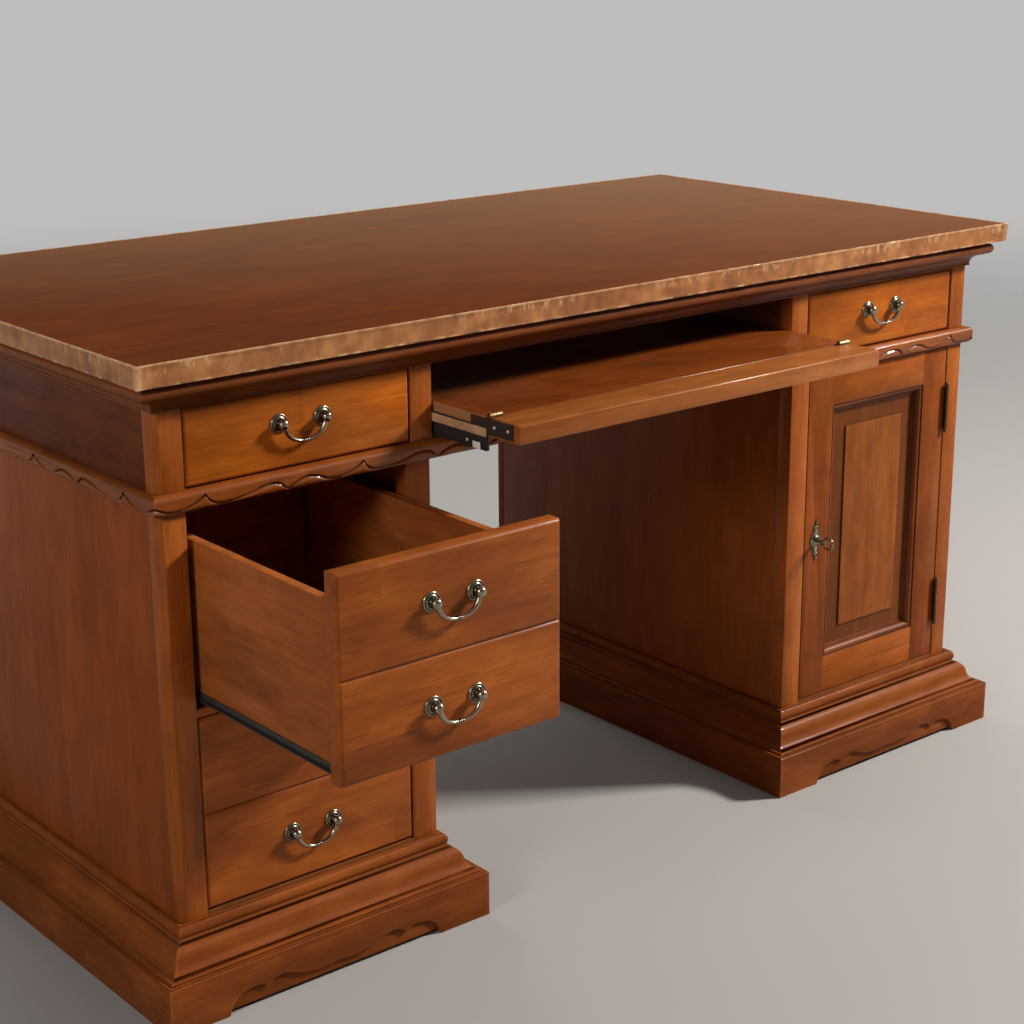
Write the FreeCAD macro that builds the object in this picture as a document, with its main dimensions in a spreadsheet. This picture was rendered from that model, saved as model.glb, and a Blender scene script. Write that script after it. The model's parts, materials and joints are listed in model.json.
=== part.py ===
"""Partners desk: two pedestals, a frieze with two drawers and a pull-out tray, and a banded top.

Millimetres, +Z up, the sitter's side faces -Y. It rests as it is used: the upper file drawer and the
tray stand open and the tray's flap is down. The origin is on the floor, at the middle of the object
at rest.
"""
import FreeCAD, Part
import collections
import math
import os
import Sketcher

Vector = FreeCAD.Vector
Rotation = FreeCAD.Rotation

SIZES = {
    # overall sizes and the top
    "desk_height": 760,
    "top_width": 1410,
    "top_depth": 720,
    "top_thickness": 25,
    "band_thickness": 2,
    "left_overhang": 31,
    "right_overhang": 43,
    "front_overhang": 30,
    "back_overhang": 56,
    # cornice under the top
    "cornice_height": 34,
    "cornice_reach": 26,
    "cornice_depth": 20,
    "cornice_neck": 3,
    "cornice_neck_inset": 6,
    "cornice_bead": 6,
    # frieze
    "frieze_height": 90,
    "corner_post_width": 35,
    "inner_post_width": 30.5,
    "post_thickness": 22,
    "post_chamfer": 6,
    "frieze_opening_width": 300,
    "panel_thickness": 20,
    "back_thickness": 14,
    "partition_thickness": 16,
    # waist moulding
    "waist_height": 23,
    "waist_reach": 9,
    "waist_depth": 24,
    "waist_round": 7,
    # pedestals
    "pedestal_width": 361,
    "stile_width": 34.5,
    "floor_height": 112.5,
    "floor_thickness": 16,
    "rail_height": 9.5,
    # plinth
    "plinth_height": 108.5,
    "plinth_reach": 45.5,
    "plinth_depth": 18,
    "skirt_height": 59,
    "skirt_round": 2.5,
    "ogee_reach": 38,
    "ogee_neck": 9,
    "ogee_top": 92,
    "ogee_bottom": 61,
    "plinth_bead_reach": 10.5,
    "scallop_width": 300,
    "scallop_height": 26,
    # drawers
    "front_gap": 1.5,
    "front_thickness": 20,
    "front_bevel": 3,
    "groove_width": 4,
    "groove_depth": 3,
    "box_thickness": 12,
    "bottom_thickness": 6,
    "bottom_lift": 8,
    "frieze_box_inset": 8,
    "frieze_box_clearance": 22.2,
    "frieze_box_depth": 420,
    "file_box_inset": 7,
    "file_box_lift": 10,
    "file_box_clearance": 34.5,
    "file_box_depth": 450,
    "file_drawer_open": 277,
    # steel slides
    "sheet_thickness": 1.5,
    "slide_height": 26,
    "slide_under": 12,
    "rail_length": 450,
    "running_gap": 0.3,
    # handles
    "handle_centres": 57,
    "frieze_handle_rise": 8,
    "file_handle_rise": 3,
    "rosette_radius": 11.2,
    "rosette_thickness": 2.4,
    "handle_neck_radius": 3.4,
    "handle_head_radius": 5,
    "handle_standoff": 9,
    "bail_radius": 1.9,
    "bail_drop": 23,
    "bail_set_in": 8,
    "bail_shoulder": 4,
    "bail_bend": 10,
    "bail_pin_end": 3.5,
    "pin_clearance": 0.1,
    # tray and flap
    "tray_out": 100,
    "tray_drop": 46,
    "tray_thickness": 12.5,
    "tray_depth": 335,
    "tray_side_gap": 3.5,
    "tray_slide_height": 27,
    "tray_slide_gap": 0.8,
    "flap_length": 53,
    "flap_thickness": 22.5,
    "flap_round": 2.5,
    "flap_seam": 2.6,
    "flap_pivot_rise": 1,
    "flap_barrel_radius": 4,
    "flap_barrel_length": 8.5,
    "flap_knuckle_gap": 0.4,
    "flap_pin_radius": 2,
    "flap_leaf_thickness": 1.2,
    "flap_leaf_height": 12,
    "flap_notch_gap": 0.6,
    "bracket_height": 18,
    "bracket_length": 75,
    "bracket_nose": 44,
    # door
    "door_thickness": 20,
    "door_hinge_gap": 2.6,
    "door_stile_width": 61,
    "door_top_rail": 62,
    "door_bottom_rail": 66,
    "door_sticking": 10,
    "door_panel_depth": 11,
    "door_panel_thickness": 7,
    "door_field_rise": 4,
    "door_bevel_width": 28,
    "hinge_height": 66,
    "hinge_leaf_thickness": 1,
    "hinge_leaf_width": 16,
    "hinge_barrel_radius": 4,
    "hinge_pin_radius": 2,
    "hinge_knuckle_gap": 0.4,
    "upper_hinge_drop": 90.5,
    "lower_hinge_rise": 84,
    # lock and key
    "lock_set_in": 22,
    "lock_case_width": 40,
    "lock_case_height": 60,
    "lock_case_depth": 15,
    "lock_wall": 3,
    "bolt_height": 12,
    "bolt_rise": 17,
    "bolt_length": 30,
    "key_radius": 2.5,
    "key_hole_gap": 0.6,
    "key_collar_radius": 4,
    "key_collar_length": 3,
    "key_stem_out": 16,
    "key_bow_radius": 8,
    "key_bow_wire": 1.8,
    "key_bit_length": 8,
    "key_bit_width": 5,
    "key_bit_thickness": 2.2,
    "escutcheon_width": 24,
    "escutcheon_height": 60,
    "escutcheon_thickness": 2,
    # one overrun serves every cut
    "cut_overrun": 5,
}

# Half outline of the scalloped skirt: shares of half the cut's width and of its height, from one foot
# to the middle. Each row is run share, height share, radius over chord, and the side that it bulges to.
SCALLOP_SHARES = (
    (1.00, 0.00, 0.75, -1),
    (0.80, 0.97, 0.85, -1),
    (0.66, 0.72, 0.80, -1),
    (0.44, 0.98, 1.60, 1),
    (0.00, 0.72, 0.00, 0),
)
LOWER_BAY_SHARE = 0.5075
LOCK_RISE_SHARE = 0.495
OGEE_RADIUS_SHARE = 0.85
BEAD_RADIUS_SHARE = 0.52
PLINTH_BEAD_RADIUS_SHARE = 0.62
PLINTH_BEAD_FACE_SHARE = 0.3
COVE_RADIUS_SHARE = 0.74
QUARTER_RADIUS_SHARE = math.sqrt(0.5)

# Escutcheon plate, right half from the bottom tip: shares of half its width and of its height.
ESCUTCHEON_SHARES = ((0.0, 0.0), (0.35, 0.14), (0.55, 0.30), (1.0, 0.46), (0.8, 0.62), (0.45, 0.80))


class Size:
    """A length: its expression in the sheet's cells, and its value in millimetres."""

    def __init__(self, text, value):
        self.text = text
        self.value = value

    def join(self, sign, other, value):
        return Size(f"({self.text} {sign} {other.text})", value)

    def __add__(self, other):
        return self.join("+", as_size(other), self.value + as_size(other).value)

    def __sub__(self, other):
        return self.join("-", as_size(other), self.value - as_size(other).value)

    def __mul__(self, factor):
        return self.join("*", as_size(factor), self.value * factor)

    def __truediv__(self, factor):
        return self.join("/", as_size(factor), self.value / factor)

    def __neg__(self):
        return Size(f"(-{self.text})", -self.value)


def as_size(thing):
    """A plain number, such as a share or a zero, becomes a Size too."""
    return thing if isinstance(thing, Size) else Size(f"{thing}", float(thing))


def hypotenuse(width, height):
    text = f"sqrt({width.text}^2 + {height.text}^2)"
    return Size(text, math.hypot(width.value, height.value))


class Dimensions:
    """Gives each cell of the sheet as a Size, by its alias."""

    def __getattr__(self, alias):
        return Size(f"sizes.{alias}", float(SIZES[alias]))


doc = FreeCAD.newDocument("partners_desk")
sheet = doc.addObject("Spreadsheet::Sheet", "sizes")
for row, (alias, value) in enumerate(SIZES.items(), start=1):
    sheet.set(f"A{row}", alias)
    sheet.set(f"B{row}", str(value))
    sheet.setAlias(f"B{row}", alias)
doc.recompute()

D = Dimensions()
ZERO = as_size(0)
LEFT, RIGHT = -1, 1
SAME_PLACE = 1e-6
Corner = collections.namedtuple("Corner", "x y share bulge", defaults=(0, 0))
nodes = []

# Main planes
HANDLE_REACH = D.handle_standoff + D.handle_head_radius
FRONT = (D.file_drawer_open + HANDLE_REACH + D.front_overhang - D.top_depth) / 2
BACK = FRONT + D.top_depth - D.front_overhang - D.back_overhang
HALF = (D.top_width - D.left_overhang - D.right_overhang) / 2
SLAB_BOTTOM = D.desk_height - D.top_thickness
FRIEZE_TOP = SLAB_BOTTOM - D.cornice_height
FRIEZE_BOTTOM = FRIEZE_TOP - D.frieze_height
WAIST_BOTTOM = FRIEZE_BOTTOM - D.waist_height
FRIEZE_OUT = HALF - D.corner_post_width
FRIEZE_IN = FRIEZE_OUT - D.frieze_opening_width
TRAY_HALF = FRIEZE_IN - D.inner_post_width
PEDESTAL_IN = HALF - D.pedestal_width
BAY_OUT = HALF - D.stile_width
BAY_IN = PEDESTAL_IN + D.stile_width
RAIL_BOTTOM = D.floor_height + (WAIST_BOTTOM - D.floor_height - D.rail_height) * LOWER_BAY_SHARE
RAIL_TOP = RAIL_BOTTOM + D.rail_height


def bind(item, **sizes):
    for name, size in sizes.items():
        item.setExpression(name, as_size(size).text)


def place(item, x, y, z):
    for axis, size in zip("xyz", (x, y, z)):
        item.setExpression(f"Placement.Base.{axis}", as_size(size).text)


def turn(item, rotation):
    item.Placement = FreeCAD.Placement(Vector(), rotation)


def span(side, near, far):
    """Low and high x of a piece between two distances from the middle, on one side of the desk."""
    return (near, far) if side == RIGHT else (-far, -near)


def keep(item):
    nodes.append(item)
    return item


def board(name, x, y, z):
    item = doc.addObject("Part::Box", name)
    bind(item, Length=x[1] - x[0], Width=y[1] - y[0], Height=z[1] - z[0])
    place(item, x[0], y[0], z[0])
    return item


def rod(name, radius, length, axis, x, y, z):
    """A round rod along one axis, starting at the point given."""
    item = doc.addObject("Part::Cylinder", name)
    turns = {"x": Rotation(Vector(0, 1, 0), 90), "y": Rotation(Vector(1, 0, 0), -90), "z": Rotation()}
    turn(item, turns[axis])
    bind(item, Radius=radius, Height=length)
    place(item, x, y, z)
    return item


def group(name, members):
    item = doc.addObject("Part::Compound", name)
    item.Links = members
    return item


def fuse(name, members):
    item = doc.addObject("Part::MultiFuse", name)
    item.Shapes = members
    return item


def cut(name, base, tool):
    item = doc.addObject("Part::Cut", name)
    item.Base = base
    item.Tool = tool
    return item


def tie(sketch, index, position, corner):
    """Ties a sketch point to the two expressions of its corner."""
    for kind, axis, size in (("DistanceX", -2, corner.x), ("DistanceY", -1, corner.y)):
        if size.value == 0:
            sketch.addConstraint(Sketcher.Constraint("PointOnObject", index, position, axis))
        else:
            rule = Sketcher.Constraint(kind, -1, 1, index, position, size.value)
            number = sketch.addConstraint(rule)
            sketch.setExpression(f"Constraints[{number}]", size.text)


def draw_arc(sketch, here, there):
    start = Vector(here.x.value, here.y.value, 0)
    end = Vector(there.x.value, there.y.value, 0)
    chord = end - start
    radius = hypotenuse(there.x - here.x, there.y - here.y) * here.share
    rise = math.sqrt(radius.value ** 2 - (chord.Length / 2) ** 2)
    leftward = Vector(-chord.y, chord.x, 0).normalize()
    centre = (start + end) * 0.5 - leftward * (here.bulge * rise)
    circle = Part.Circle(centre, Vector(0, 0, 1), radius.value)
    first, last = (end, start) if here.bulge > 0 else (start, end)
    arc = Part.ArcOfCircle(circle, circle.parameter(first), circle.parameter(last))
    index = sketch.addGeometry(arc)
    number = sketch.addConstraint(Sketcher.Constraint("Radius", index, radius.value))
    sketch.setExpression(f"Constraints[{number}]", radius.text)
    return (index, 2, 1) if here.bulge > 0 else (index, 1, 2)


def draw_line(sketch, here, there):
    start = Vector(here.x.value, here.y.value, 0)
    end = Vector(there.x.value, there.y.value, 0)
    return sketch.addGeometry(Part.LineSegment(start, end)), 1, 2


def draw(sketch, corners, closed=True):
    """Lines and arcs through the corners, each corner tied to its expressions."""
    ends = corners[1:] + corners[:1] if closed else corners[1:]
    spans = []
    for here, there in zip(corners, ends):
        drawn = draw_arc(sketch, here, there) if here.share else draw_line(sketch, here, there)
        spans.append(drawn)
    for number, (index, first, last) in enumerate(spans):
        tie(sketch, index, first, corners[number])
        if closed or number + 1 < len(spans):
            follow = spans[(number + 1) % len(spans)]
            rule = Sketcher.Constraint("Coincident", index, last, follow[0], follow[1])
            sketch.addConstraint(rule)
    if not closed:
        tie(sketch, spans[-1][0], spans[-1][2], corners[-1])
    return len(spans)


def body_sketch(body, name, role):
    plane = [item for item in body.Origin.OriginFeatures if item.Role == role][0]
    sketch = body.newObject("Sketcher::SketchObject", name)
    sketch.AttachmentSupport = (plane, [""])
    sketch.MapMode = "FlatFace"
    return sketch


def rectangle(width, depth):
    return [Corner(ZERO, ZERO), Corner(width, ZERO), Corner(width, depth), Corner(ZERO, depth)]


def shaped_board(name, x, y, z):
    """A board as a body: a rectangle padded upwards, ready for its edges to be dressed."""
    body = doc.addObject("PartDesign::Body", name)
    sketch = body_sketch(body, f"{name}_plan", "XY_Plane")
    draw(sketch, rectangle(x[1] - x[0], y[1] - y[0]))
    pad = body.newObject("PartDesign::Pad", f"{name}_pad")
    pad.Profile = sketch
    bind(pad, Length=z[1] - z[0])
    place(body, x[0], y[0], z[0])
    doc.recompute()
    return body


def edges_where(body, wanted):
    """Names of the edges of the body whose two end points both satisfy a test."""
    found = []
    for number, edge in enumerate(body.Tip.Shape.Edges, start=1):
        if all(wanted(vertex.Point) for vertex in edge.Vertexes):
            found.append(f"Edge{number}")
    return found


def near(value, size):
    return abs(value - size.value) < SAME_PLACE


def dress(body, kind, edges, **sizes):
    """Adds a Chamfer or a Fillet to the named edges."""
    base = body.Tip
    feature = body.newObject(f"PartDesign::{kind}", f"{body.Name}_{kind.lower()}")
    feature.Base = (base, edges)
    bind(feature, **sizes)
    doc.recompute()
    return feature


def mitred_length(name, corners, start, run, reach, depth, height, bottom, quarter):
    """One length of a moulding: its section run along a face and cut by the plan of its two mitres.

    The section is drawn from its inner bottom corner: x outwards, y up. A quarter of 0 is the front.
    """
    x, y = start
    angle = quarter * 90
    along = Rotation(Vector(0, 0, 1), angle).multVec(Vector(1, 0, 0))
    outward = Rotation(Vector(0, 0, 1), angle).multVec(Vector(0, -1, 0))
    section = doc.addObject("Sketcher::SketchObject", f"{name}_section")
    draw(section, corners)
    upright = Rotation(Vector(1, 0, 0), 90)
    turn(section, Rotation(Vector(0, 0, 1), angle - 90).multiply(upright))
    place(section,
          x - depth * round(outward.x) - reach * round(along.x),
          y - depth * round(outward.y) - reach * round(along.y),
          bottom)
    length = doc.addObject("Part::Extrusion", f"{name}_length")
    length.Base = section
    length.DirMode = "Custom"
    length.Dir = along
    length.Solid = True
    bind(length, LengthFwd=run + reach * 2)
    plan = doc.addObject("Part::Wedge", f"{name}_plan")
    bind(plan, Xmin=-reach, Xmax=run + reach, X2min=depth, X2max=run - depth)
    bind(plan, Ymin=-reach, Ymax=depth, Zmin=ZERO, Z2min=ZERO, Zmax=height, Z2max=height)
    turn(plan, Rotation(Vector(0, 0, 1), angle))
    place(plan, x, y, bottom)
    item = doc.addObject("Part::Common", name)
    item.Base = length
    item.Tool = plan
    return item


def mitred_ring(name, corners, x, y, reach, depth, height, bottom):
    """Four mitred lengths round the rectangle x by y: front, right, back and left."""
    starts = ((x[0], y[0]), (x[1], y[0]), (x[1], y[1]), (x[0], y[1]))
    runs = (x[1] - x[0], y[1] - y[0])
    lengths = []
    for quarter, side in enumerate(("front", "right", "back", "left")):
        lengths.append(mitred_length(f"{name}_{side}", corners, starts[quarter], runs[quarter % 2],
                                     reach, depth, height, bottom, quarter))
    return lengths


def make_top():
    slab_x = (-HALF - D.left_overhang + D.band_thickness, HALF + D.right_overhang - D.band_thickness)
    slab_y = (FRONT - D.front_overhang + D.band_thickness,
              FRONT - D.front_overhang + D.top_depth - D.band_thickness)
    keep(board("desk_top", slab_x, slab_y, (SLAB_BOTTOM, D.desk_height)))
    strip = rectangle(D.band_thickness, D.top_thickness)
    keep(group("top_edge_band", mitred_ring("band", strip, slab_x, slab_y, D.band_thickness, ZERO,
                                            D.top_thickness, SLAB_BOTTOM)))


def make_cornice():
    """A cove rising to a bead, with a narrow neck under the slab."""
    inner = D.cornice_depth
    neck = D.cornice_depth + D.cornice_reach - D.cornice_neck_inset
    bead_bottom = D.cornice_height - D.cornice_neck - D.cornice_bead
    corners = [
        Corner(ZERO, ZERO),
        Corner(inner, ZERO, COVE_RADIUS_SHARE, 1),
        Corner(neck, bead_bottom),
        Corner(inner + D.cornice_reach - D.cornice_bead / 2, bead_bottom, BEAD_RADIUS_SHARE, -1),
        Corner(inner + D.cornice_reach - D.cornice_bead / 2, bead_bottom + D.cornice_bead),
        Corner(neck, bead_bottom + D.cornice_bead),
        Corner(neck, D.cornice_height),
        Corner(ZERO, D.cornice_height),
    ]
    keep(group("cornice", mitred_ring("cornice", corners, (-HALF, HALF), (FRONT, BACK), D.cornice_reach,
                                      D.cornice_depth, D.cornice_height, FRIEZE_TOP)))


def make_frieze():
    height = (FRIEZE_BOTTOM, FRIEZE_TOP)
    deep = (FRONT + D.post_thickness, BACK - D.back_thickness)
    posts = []
    inner_posts = []
    sides = []
    partitions = []
    for side, word in ((LEFT, "left"), (RIGHT, "right")):
        post_x = span(side, FRIEZE_OUT, HALF)
        post = shaped_board(f"{word}_corner_post", post_x, (FRONT, FRONT + D.post_thickness), height)
        outer = ZERO if side == LEFT else post_x[1] - post_x[0]
        arris = edges_where(post, lambda point: near(point.x, outer) and near(point.y, ZERO))
        dress(post, "Chamfer", arris, Size=D.post_chamfer)
        posts.append(post)
        inner_posts.append(board(f"{word}_inner_post", span(side, TRAY_HALF, FRIEZE_IN),
                                 (FRONT, FRONT + D.post_thickness), height))
        sides.append(board(f"{word}_frieze_side", span(side, HALF - D.panel_thickness, HALF), deep, height))
        edge = TRAY_HALF + (D.inner_post_width - D.partition_thickness) / 2
        partitions.append(board(f"{word}_partition", span(side, edge, edge + D.partition_thickness),
                                (FRONT + D.post_thickness, BACK - D.waist_depth),
                                (FRIEZE_BOTTOM, SLAB_BOTTOM)))
    keep(group("corner_posts", posts))
    keep(group("inner_posts", inner_posts))
    keep(group("frieze_sides", sides))
    keep(group("frieze_partitions", partitions))
    keep(board("frieze_back", (-HALF, HALF), (BACK - D.back_thickness, BACK), height))


def make_waist():
    outer = D.waist_depth + D.waist_reach
    corners = [
        Corner(ZERO, ZERO),
        Corner(outer - D.waist_round, ZERO, QUARTER_RADIUS_SHARE, -1),
        Corner(outer, D.waist_round),
        Corner(outer, D.waist_height - D.waist_round, QUARTER_RADIUS_SHARE, -1),
        Corner(outer - D.waist_round, D.waist_height),
        Corner(ZERO, D.waist_height),
    ]
    keep(group("waist_moulding", mitred_ring("waist", corners, (-HALF, HALF), (FRONT, BACK), D.waist_reach,
                                             D.waist_depth, D.waist_height, WAIST_BOTTOM)))
    shelves = []
    for side, word in ((LEFT, "left"), (RIGHT, "right")):
        shelves.append(board(f"{word}_dust_board", span(side, PEDESTAL_IN, HALF - D.waist_depth),
                             (FRONT + D.waist_depth, BACK - D.waist_depth), (WAIST_BOTTOM, FRIEZE_BOTTOM)))
    keep(group("dust_boards", shelves))


def make_pedestals():
    deep = (FRONT + D.post_thickness, BACK - D.back_thickness)
    tall = (D.skirt_height, WAIST_BOTTOM)
    outer_sides = []
    inner_sides = []
    stiles = []
    backs = []
    floors = []
    for side, word in ((LEFT, "left"), (RIGHT, "right")):
        outer_x = span(side, HALF - D.panel_thickness, HALF)
        outer_sides.append(board(f"{word}_outer_side", outer_x, deep, tall))
        inner_x = span(side, PEDESTAL_IN, PEDESTAL_IN + D.panel_thickness)
        inner_sides.append(board(f"{word}_inner_side", inner_x, deep, tall))
        outer = shaped_board(f"{word}_outer_stile", span(side, BAY_OUT, HALF),
                             (FRONT, FRONT + D.post_thickness), tall)
        face = ZERO if side == LEFT else D.stile_width
        arris = edges_where(outer, lambda point: near(point.x, face) and near(point.y, ZERO))
        dress(outer, "Chamfer", arris, Size=D.post_chamfer)
        stiles.append(outer)
        stiles.append(board(f"{word}_inner_stile", span(side, PEDESTAL_IN, BAY_IN),
                            (FRONT, FRONT + D.post_thickness), tall))
        backs.append(board(f"{word}_back", span(side, PEDESTAL_IN, HALF),
                           (BACK - D.back_thickness, BACK), tall))
        inside = span(side, PEDESTAL_IN + D.panel_thickness, HALF - D.panel_thickness)
        behind = board(f"{word}_floor_back", inside, deep,
                       (D.floor_height - D.floor_thickness, D.floor_height))
        lip = board(f"{word}_floor_lip", span(side, BAY_IN, BAY_OUT), (FRONT, FRONT + D.post_thickness),
                    (D.floor_height - D.floor_thickness, D.floor_height))
        floors.append(fuse(f"{word}_floor", [behind, lip]))
    keep(group("pedestal_outer_sides", outer_sides))
    keep(group("pedestal_inner_sides", inner_sides))
    keep(group("pedestal_stiles", stiles))
    keep(group("pedestal_backs", backs))
    keep(group("pedestal_floors", floors))
    keep(board("drawer_rail", span(LEFT, BAY_IN, BAY_OUT), (FRONT, FRONT + D.post_thickness),
               (RAIL_BOTTOM, RAIL_TOP)))


def plinth_section():
    """A skirt with a rounded top edge, an ogee, a bead, and a ledge under the pedestal."""
    inner = D.plinth_depth
    outer = inner + D.plinth_reach
    middle_reach = inner + (D.ogee_reach + D.ogee_neck) / 2
    middle_height = (D.ogee_top + D.ogee_bottom) / 2
    bead_bottom = D.ogee_top
    bead_face = inner + D.plinth_bead_reach - (D.plinth_height - bead_bottom) * PLINTH_BEAD_FACE_SHARE
    return [
        Corner(ZERO, ZERO),
        Corner(outer, ZERO),
        Corner(outer, D.skirt_height - D.skirt_round, QUARTER_RADIUS_SHARE, -1),
        Corner(outer - D.skirt_round, D.skirt_height),
        Corner(inner + D.ogee_reach, D.skirt_height),
        Corner(inner + D.ogee_reach, D.ogee_bottom, OGEE_RADIUS_SHARE, 1),
        Corner(middle_reach, middle_height, OGEE_RADIUS_SHARE, -1),
        Corner(inner + D.ogee_neck, D.ogee_top),
        Corner(bead_face, bead_bottom, PLINTH_BEAD_RADIUS_SHARE, -1),
        Corner(bead_face, D.plinth_height),
        Corner(inner, D.plinth_height),
        Corner(inner, D.skirt_height),
        Corner(ZERO, D.skirt_height),
    ]


def scallop(name, side):
    """The cut-out under the front skirt, between two bracket feet."""
    half = D.scallop_width / 2
    points = [(run, rise) for run, rise, share, bulge in SCALLOP_SHARES]
    points += [(-run, rise) for run, rise in reversed(points[:-1])]
    bends = [(share, bulge) for run, rise, share, bulge in SCALLOP_SHARES[:-1]]
    bends += bends[::-1] + [(0, 0)]
    outline = [Corner(ZERO, ZERO), Corner(D.scallop_width, ZERO)]
    for (run, rise), (share, bulge) in zip(points, bends):
        outline.append(Corner(half + half * run, D.cut_overrun + D.scallop_height * rise, share, bulge))
    sketch = doc.addObject("Sketcher::SketchObject", f"{name}_outline")
    draw(sketch, outline)
    turn(sketch, Rotation(Vector(1, 0, 0), 90))
    middle = (PEDESTAL_IN + HALF) / 2 * side
    place(sketch, middle - half, FRONT + D.plinth_depth + D.cut_overrun, -D.cut_overrun)
    item = doc.addObject("Part::Extrusion", name)
    item.Base = sketch
    item.DirMode = "Custom"
    item.Dir = Vector(0, -1, 0)
    item.Solid = True
    bind(item, LengthFwd=D.plinth_depth + D.plinth_reach + D.cut_overrun * 2)
    return item


def make_plinths():
    for side, word in ((LEFT, "left"), (RIGHT, "right")):
        name = f"{word}_plinth"
        lengths = mitred_ring(name, plinth_section(), span(side, PEDESTAL_IN, HALF), (FRONT, BACK),
                              D.plinth_reach, D.plinth_depth, D.plinth_height, ZERO)
        lengths[0] = cut(f"{name}_front_cut", lengths[0], scallop(f"{name}_scallop", side))
        keep(group(name, lengths))


def handle_posts(name, face, places):
    """Rosettes with an eyed post for each bail, on a front whose face is at y = face."""
    posts = []
    for number, (x, z) in enumerate(places):
        for side in (LEFT, RIGHT):
            base = f"{name}_{number}_{'left' if side == LEFT else 'right'}"
            centre = x + D.handle_centres / 2 * side
            disc = rod(f"{base}_disc", D.rosette_radius, D.rosette_thickness, "y",
                       centre, face - D.rosette_thickness, z)
            neck = rod(f"{base}_neck", D.handle_neck_radius, D.handle_standoff, "y",
                       centre, face - D.handle_standoff, z)
            head = doc.addObject("Part::Sphere", f"{base}_head")
            bind(head, Radius=D.handle_head_radius)
            place(head, centre, face - D.handle_standoff, z)
            eye = rod(f"{base}_eye", D.bail_radius + D.pin_clearance, D.handle_head_radius * 4, "x",
                      centre - D.handle_head_radius * 2, face - D.handle_standoff, z)
            posts.append(cut(f"{base}_post", fuse(f"{base}_blank", [disc, neck, head]), eye))
    keep(group(name, posts))


def bail(name, face, x, z):
    """A drop handle: one wire bent from pin to pin."""
    half = D.handle_centres / 2 + D.bail_pin_end
    arm = D.bail_pin_end + D.bail_set_in
    far = half * 2
    low = D.bail_bend
    high = D.bail_drop - D.bail_shoulder
    corners = [
        Corner(ZERO, D.bail_drop),
        Corner(arm - D.bail_shoulder, D.bail_drop, QUARTER_RADIUS_SHARE, 1),
        Corner(arm, high),
        Corner(arm, low, QUARTER_RADIUS_SHARE, -1),
        Corner(arm + D.bail_bend, ZERO),
        Corner(far - arm - D.bail_bend, ZERO, QUARTER_RADIUS_SHARE, -1),
        Corner(far - arm, low),
        Corner(far - arm, high, QUARTER_RADIUS_SHARE, 1),
        Corner(far - arm + D.bail_shoulder, D.bail_drop),
        Corner(far, D.bail_drop),
    ]
    body = doc.addObject("PartDesign::Body", name)
    path = body_sketch(body, f"{name}_path", "XZ_Plane")
    count = draw(path, corners, closed=False)
    section = body_sketch(body, f"{name}_section", "YZ_Plane")
    centre = Vector(0, D.bail_drop.value, 0)
    wire = section.addGeometry(Part.Circle(centre, Vector(0, 0, 1), D.bail_radius.value))
    tie(section, wire, 3, Corner(ZERO, D.bail_drop))
    number = section.addConstraint(Sketcher.Constraint("Radius", wire, D.bail_radius.value))
    section.setExpression(f"Constraints[{number}]", D.bail_radius.text)
    doc.recompute()
    pipe = body.newObject("PartDesign::AdditivePipe", f"{name}_pipe")
    pipe.Profile = section
    pipe.Spine = (path, [f"Edge{edge}" for edge in range(1, count + 1)])
    place(body, x - half, face - D.handle_standoff, z - D.bail_drop)
    keep(body)


def drawer_box(name, x, y, z):
    """Two sides, a back and an inner front, with a bottom let in between them."""
    wall = D.box_thickness
    walls = [
        board(f"{name}_side_left", (x[0], x[0] + wall), y, z),
        board(f"{name}_side_right", (x[1] - wall, x[1]), y, z),
        board(f"{name}_inner_front", (x[0] + wall, x[1] - wall), (y[0], y[0] + wall), z),
        board(f"{name}_rear", (x[0] + wall, x[1] - wall), (y[1] - wall, y[1]), z),
    ]
    keep(group(f"{name}_box", walls))
    keep(board(f"{name}_bottom", (x[0] + wall, x[1] - wall), (y[0] + wall, y[1] - wall),
               (z[0] + D.bottom_lift, z[0] + D.bottom_lift + D.bottom_thickness)))


def bevelled_front(name, x, y, z, split):
    """A drawer front with bevelled arrises and, where it is split, a groove across its face."""
    front = shaped_board(name, x, y, z)
    rim = edges_where(front, lambda point: near(point.y, ZERO))
    dress(front, "Chamfer", rim, Size=D.front_bevel)
    if split:
        groove = body_sketch(front, f"{name}_groove_section", "YZ_Plane")
        middle = (z[1] - z[0]) / 2
        draw(groove, [
            Corner(ZERO, middle - D.groove_width / 2),
            Corner(D.groove_depth, middle),
            Corner(ZERO, middle + D.groove_width / 2),
        ])
        pocket = front.newObject("PartDesign::Pocket", f"{name}_groove")
        pocket.Profile = groove
        pocket.Type = "ThroughAll"
        pocket.Midplane = True
        before = front.Shape.Volume
        doc.recompute()
        if not front.Shape.Volume < before:
            raise ValueError(f"the groove of {name} cuts nothing")
    return keep(front)


def make_frieze_drawers():
    for side, word in ((LEFT, "left"), (RIGHT, "right")):
        name = f"{word}_drawer"
        x = span(side, FRIEZE_IN + D.front_gap, FRIEZE_OUT - D.front_gap)
        z = (FRIEZE_BOTTOM + D.front_gap, FRIEZE_TOP - D.front_gap)
        bevelled_front(f"{name}_front", x, (FRONT, FRONT + D.front_thickness), z, False)
        box_x = (x[0] + D.frieze_box_inset, x[1] - D.frieze_box_inset)
        box_y = (FRONT + D.front_thickness, FRONT + D.front_thickness + D.frieze_box_depth)
        bottom = FRIEZE_BOTTOM + D.running_gap
        drawer_box(name, box_x, box_y, (bottom, z[1] - D.frieze_box_clearance))
        middle = (x[0] + x[1]) / 2
        rise = (z[0] + z[1]) / 2 + D.frieze_handle_rise
        handle_posts(f"{name}_handle_posts", FRONT, [(middle, rise)])
        bail(f"{name}_bail", FRONT, middle, rise)


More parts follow.
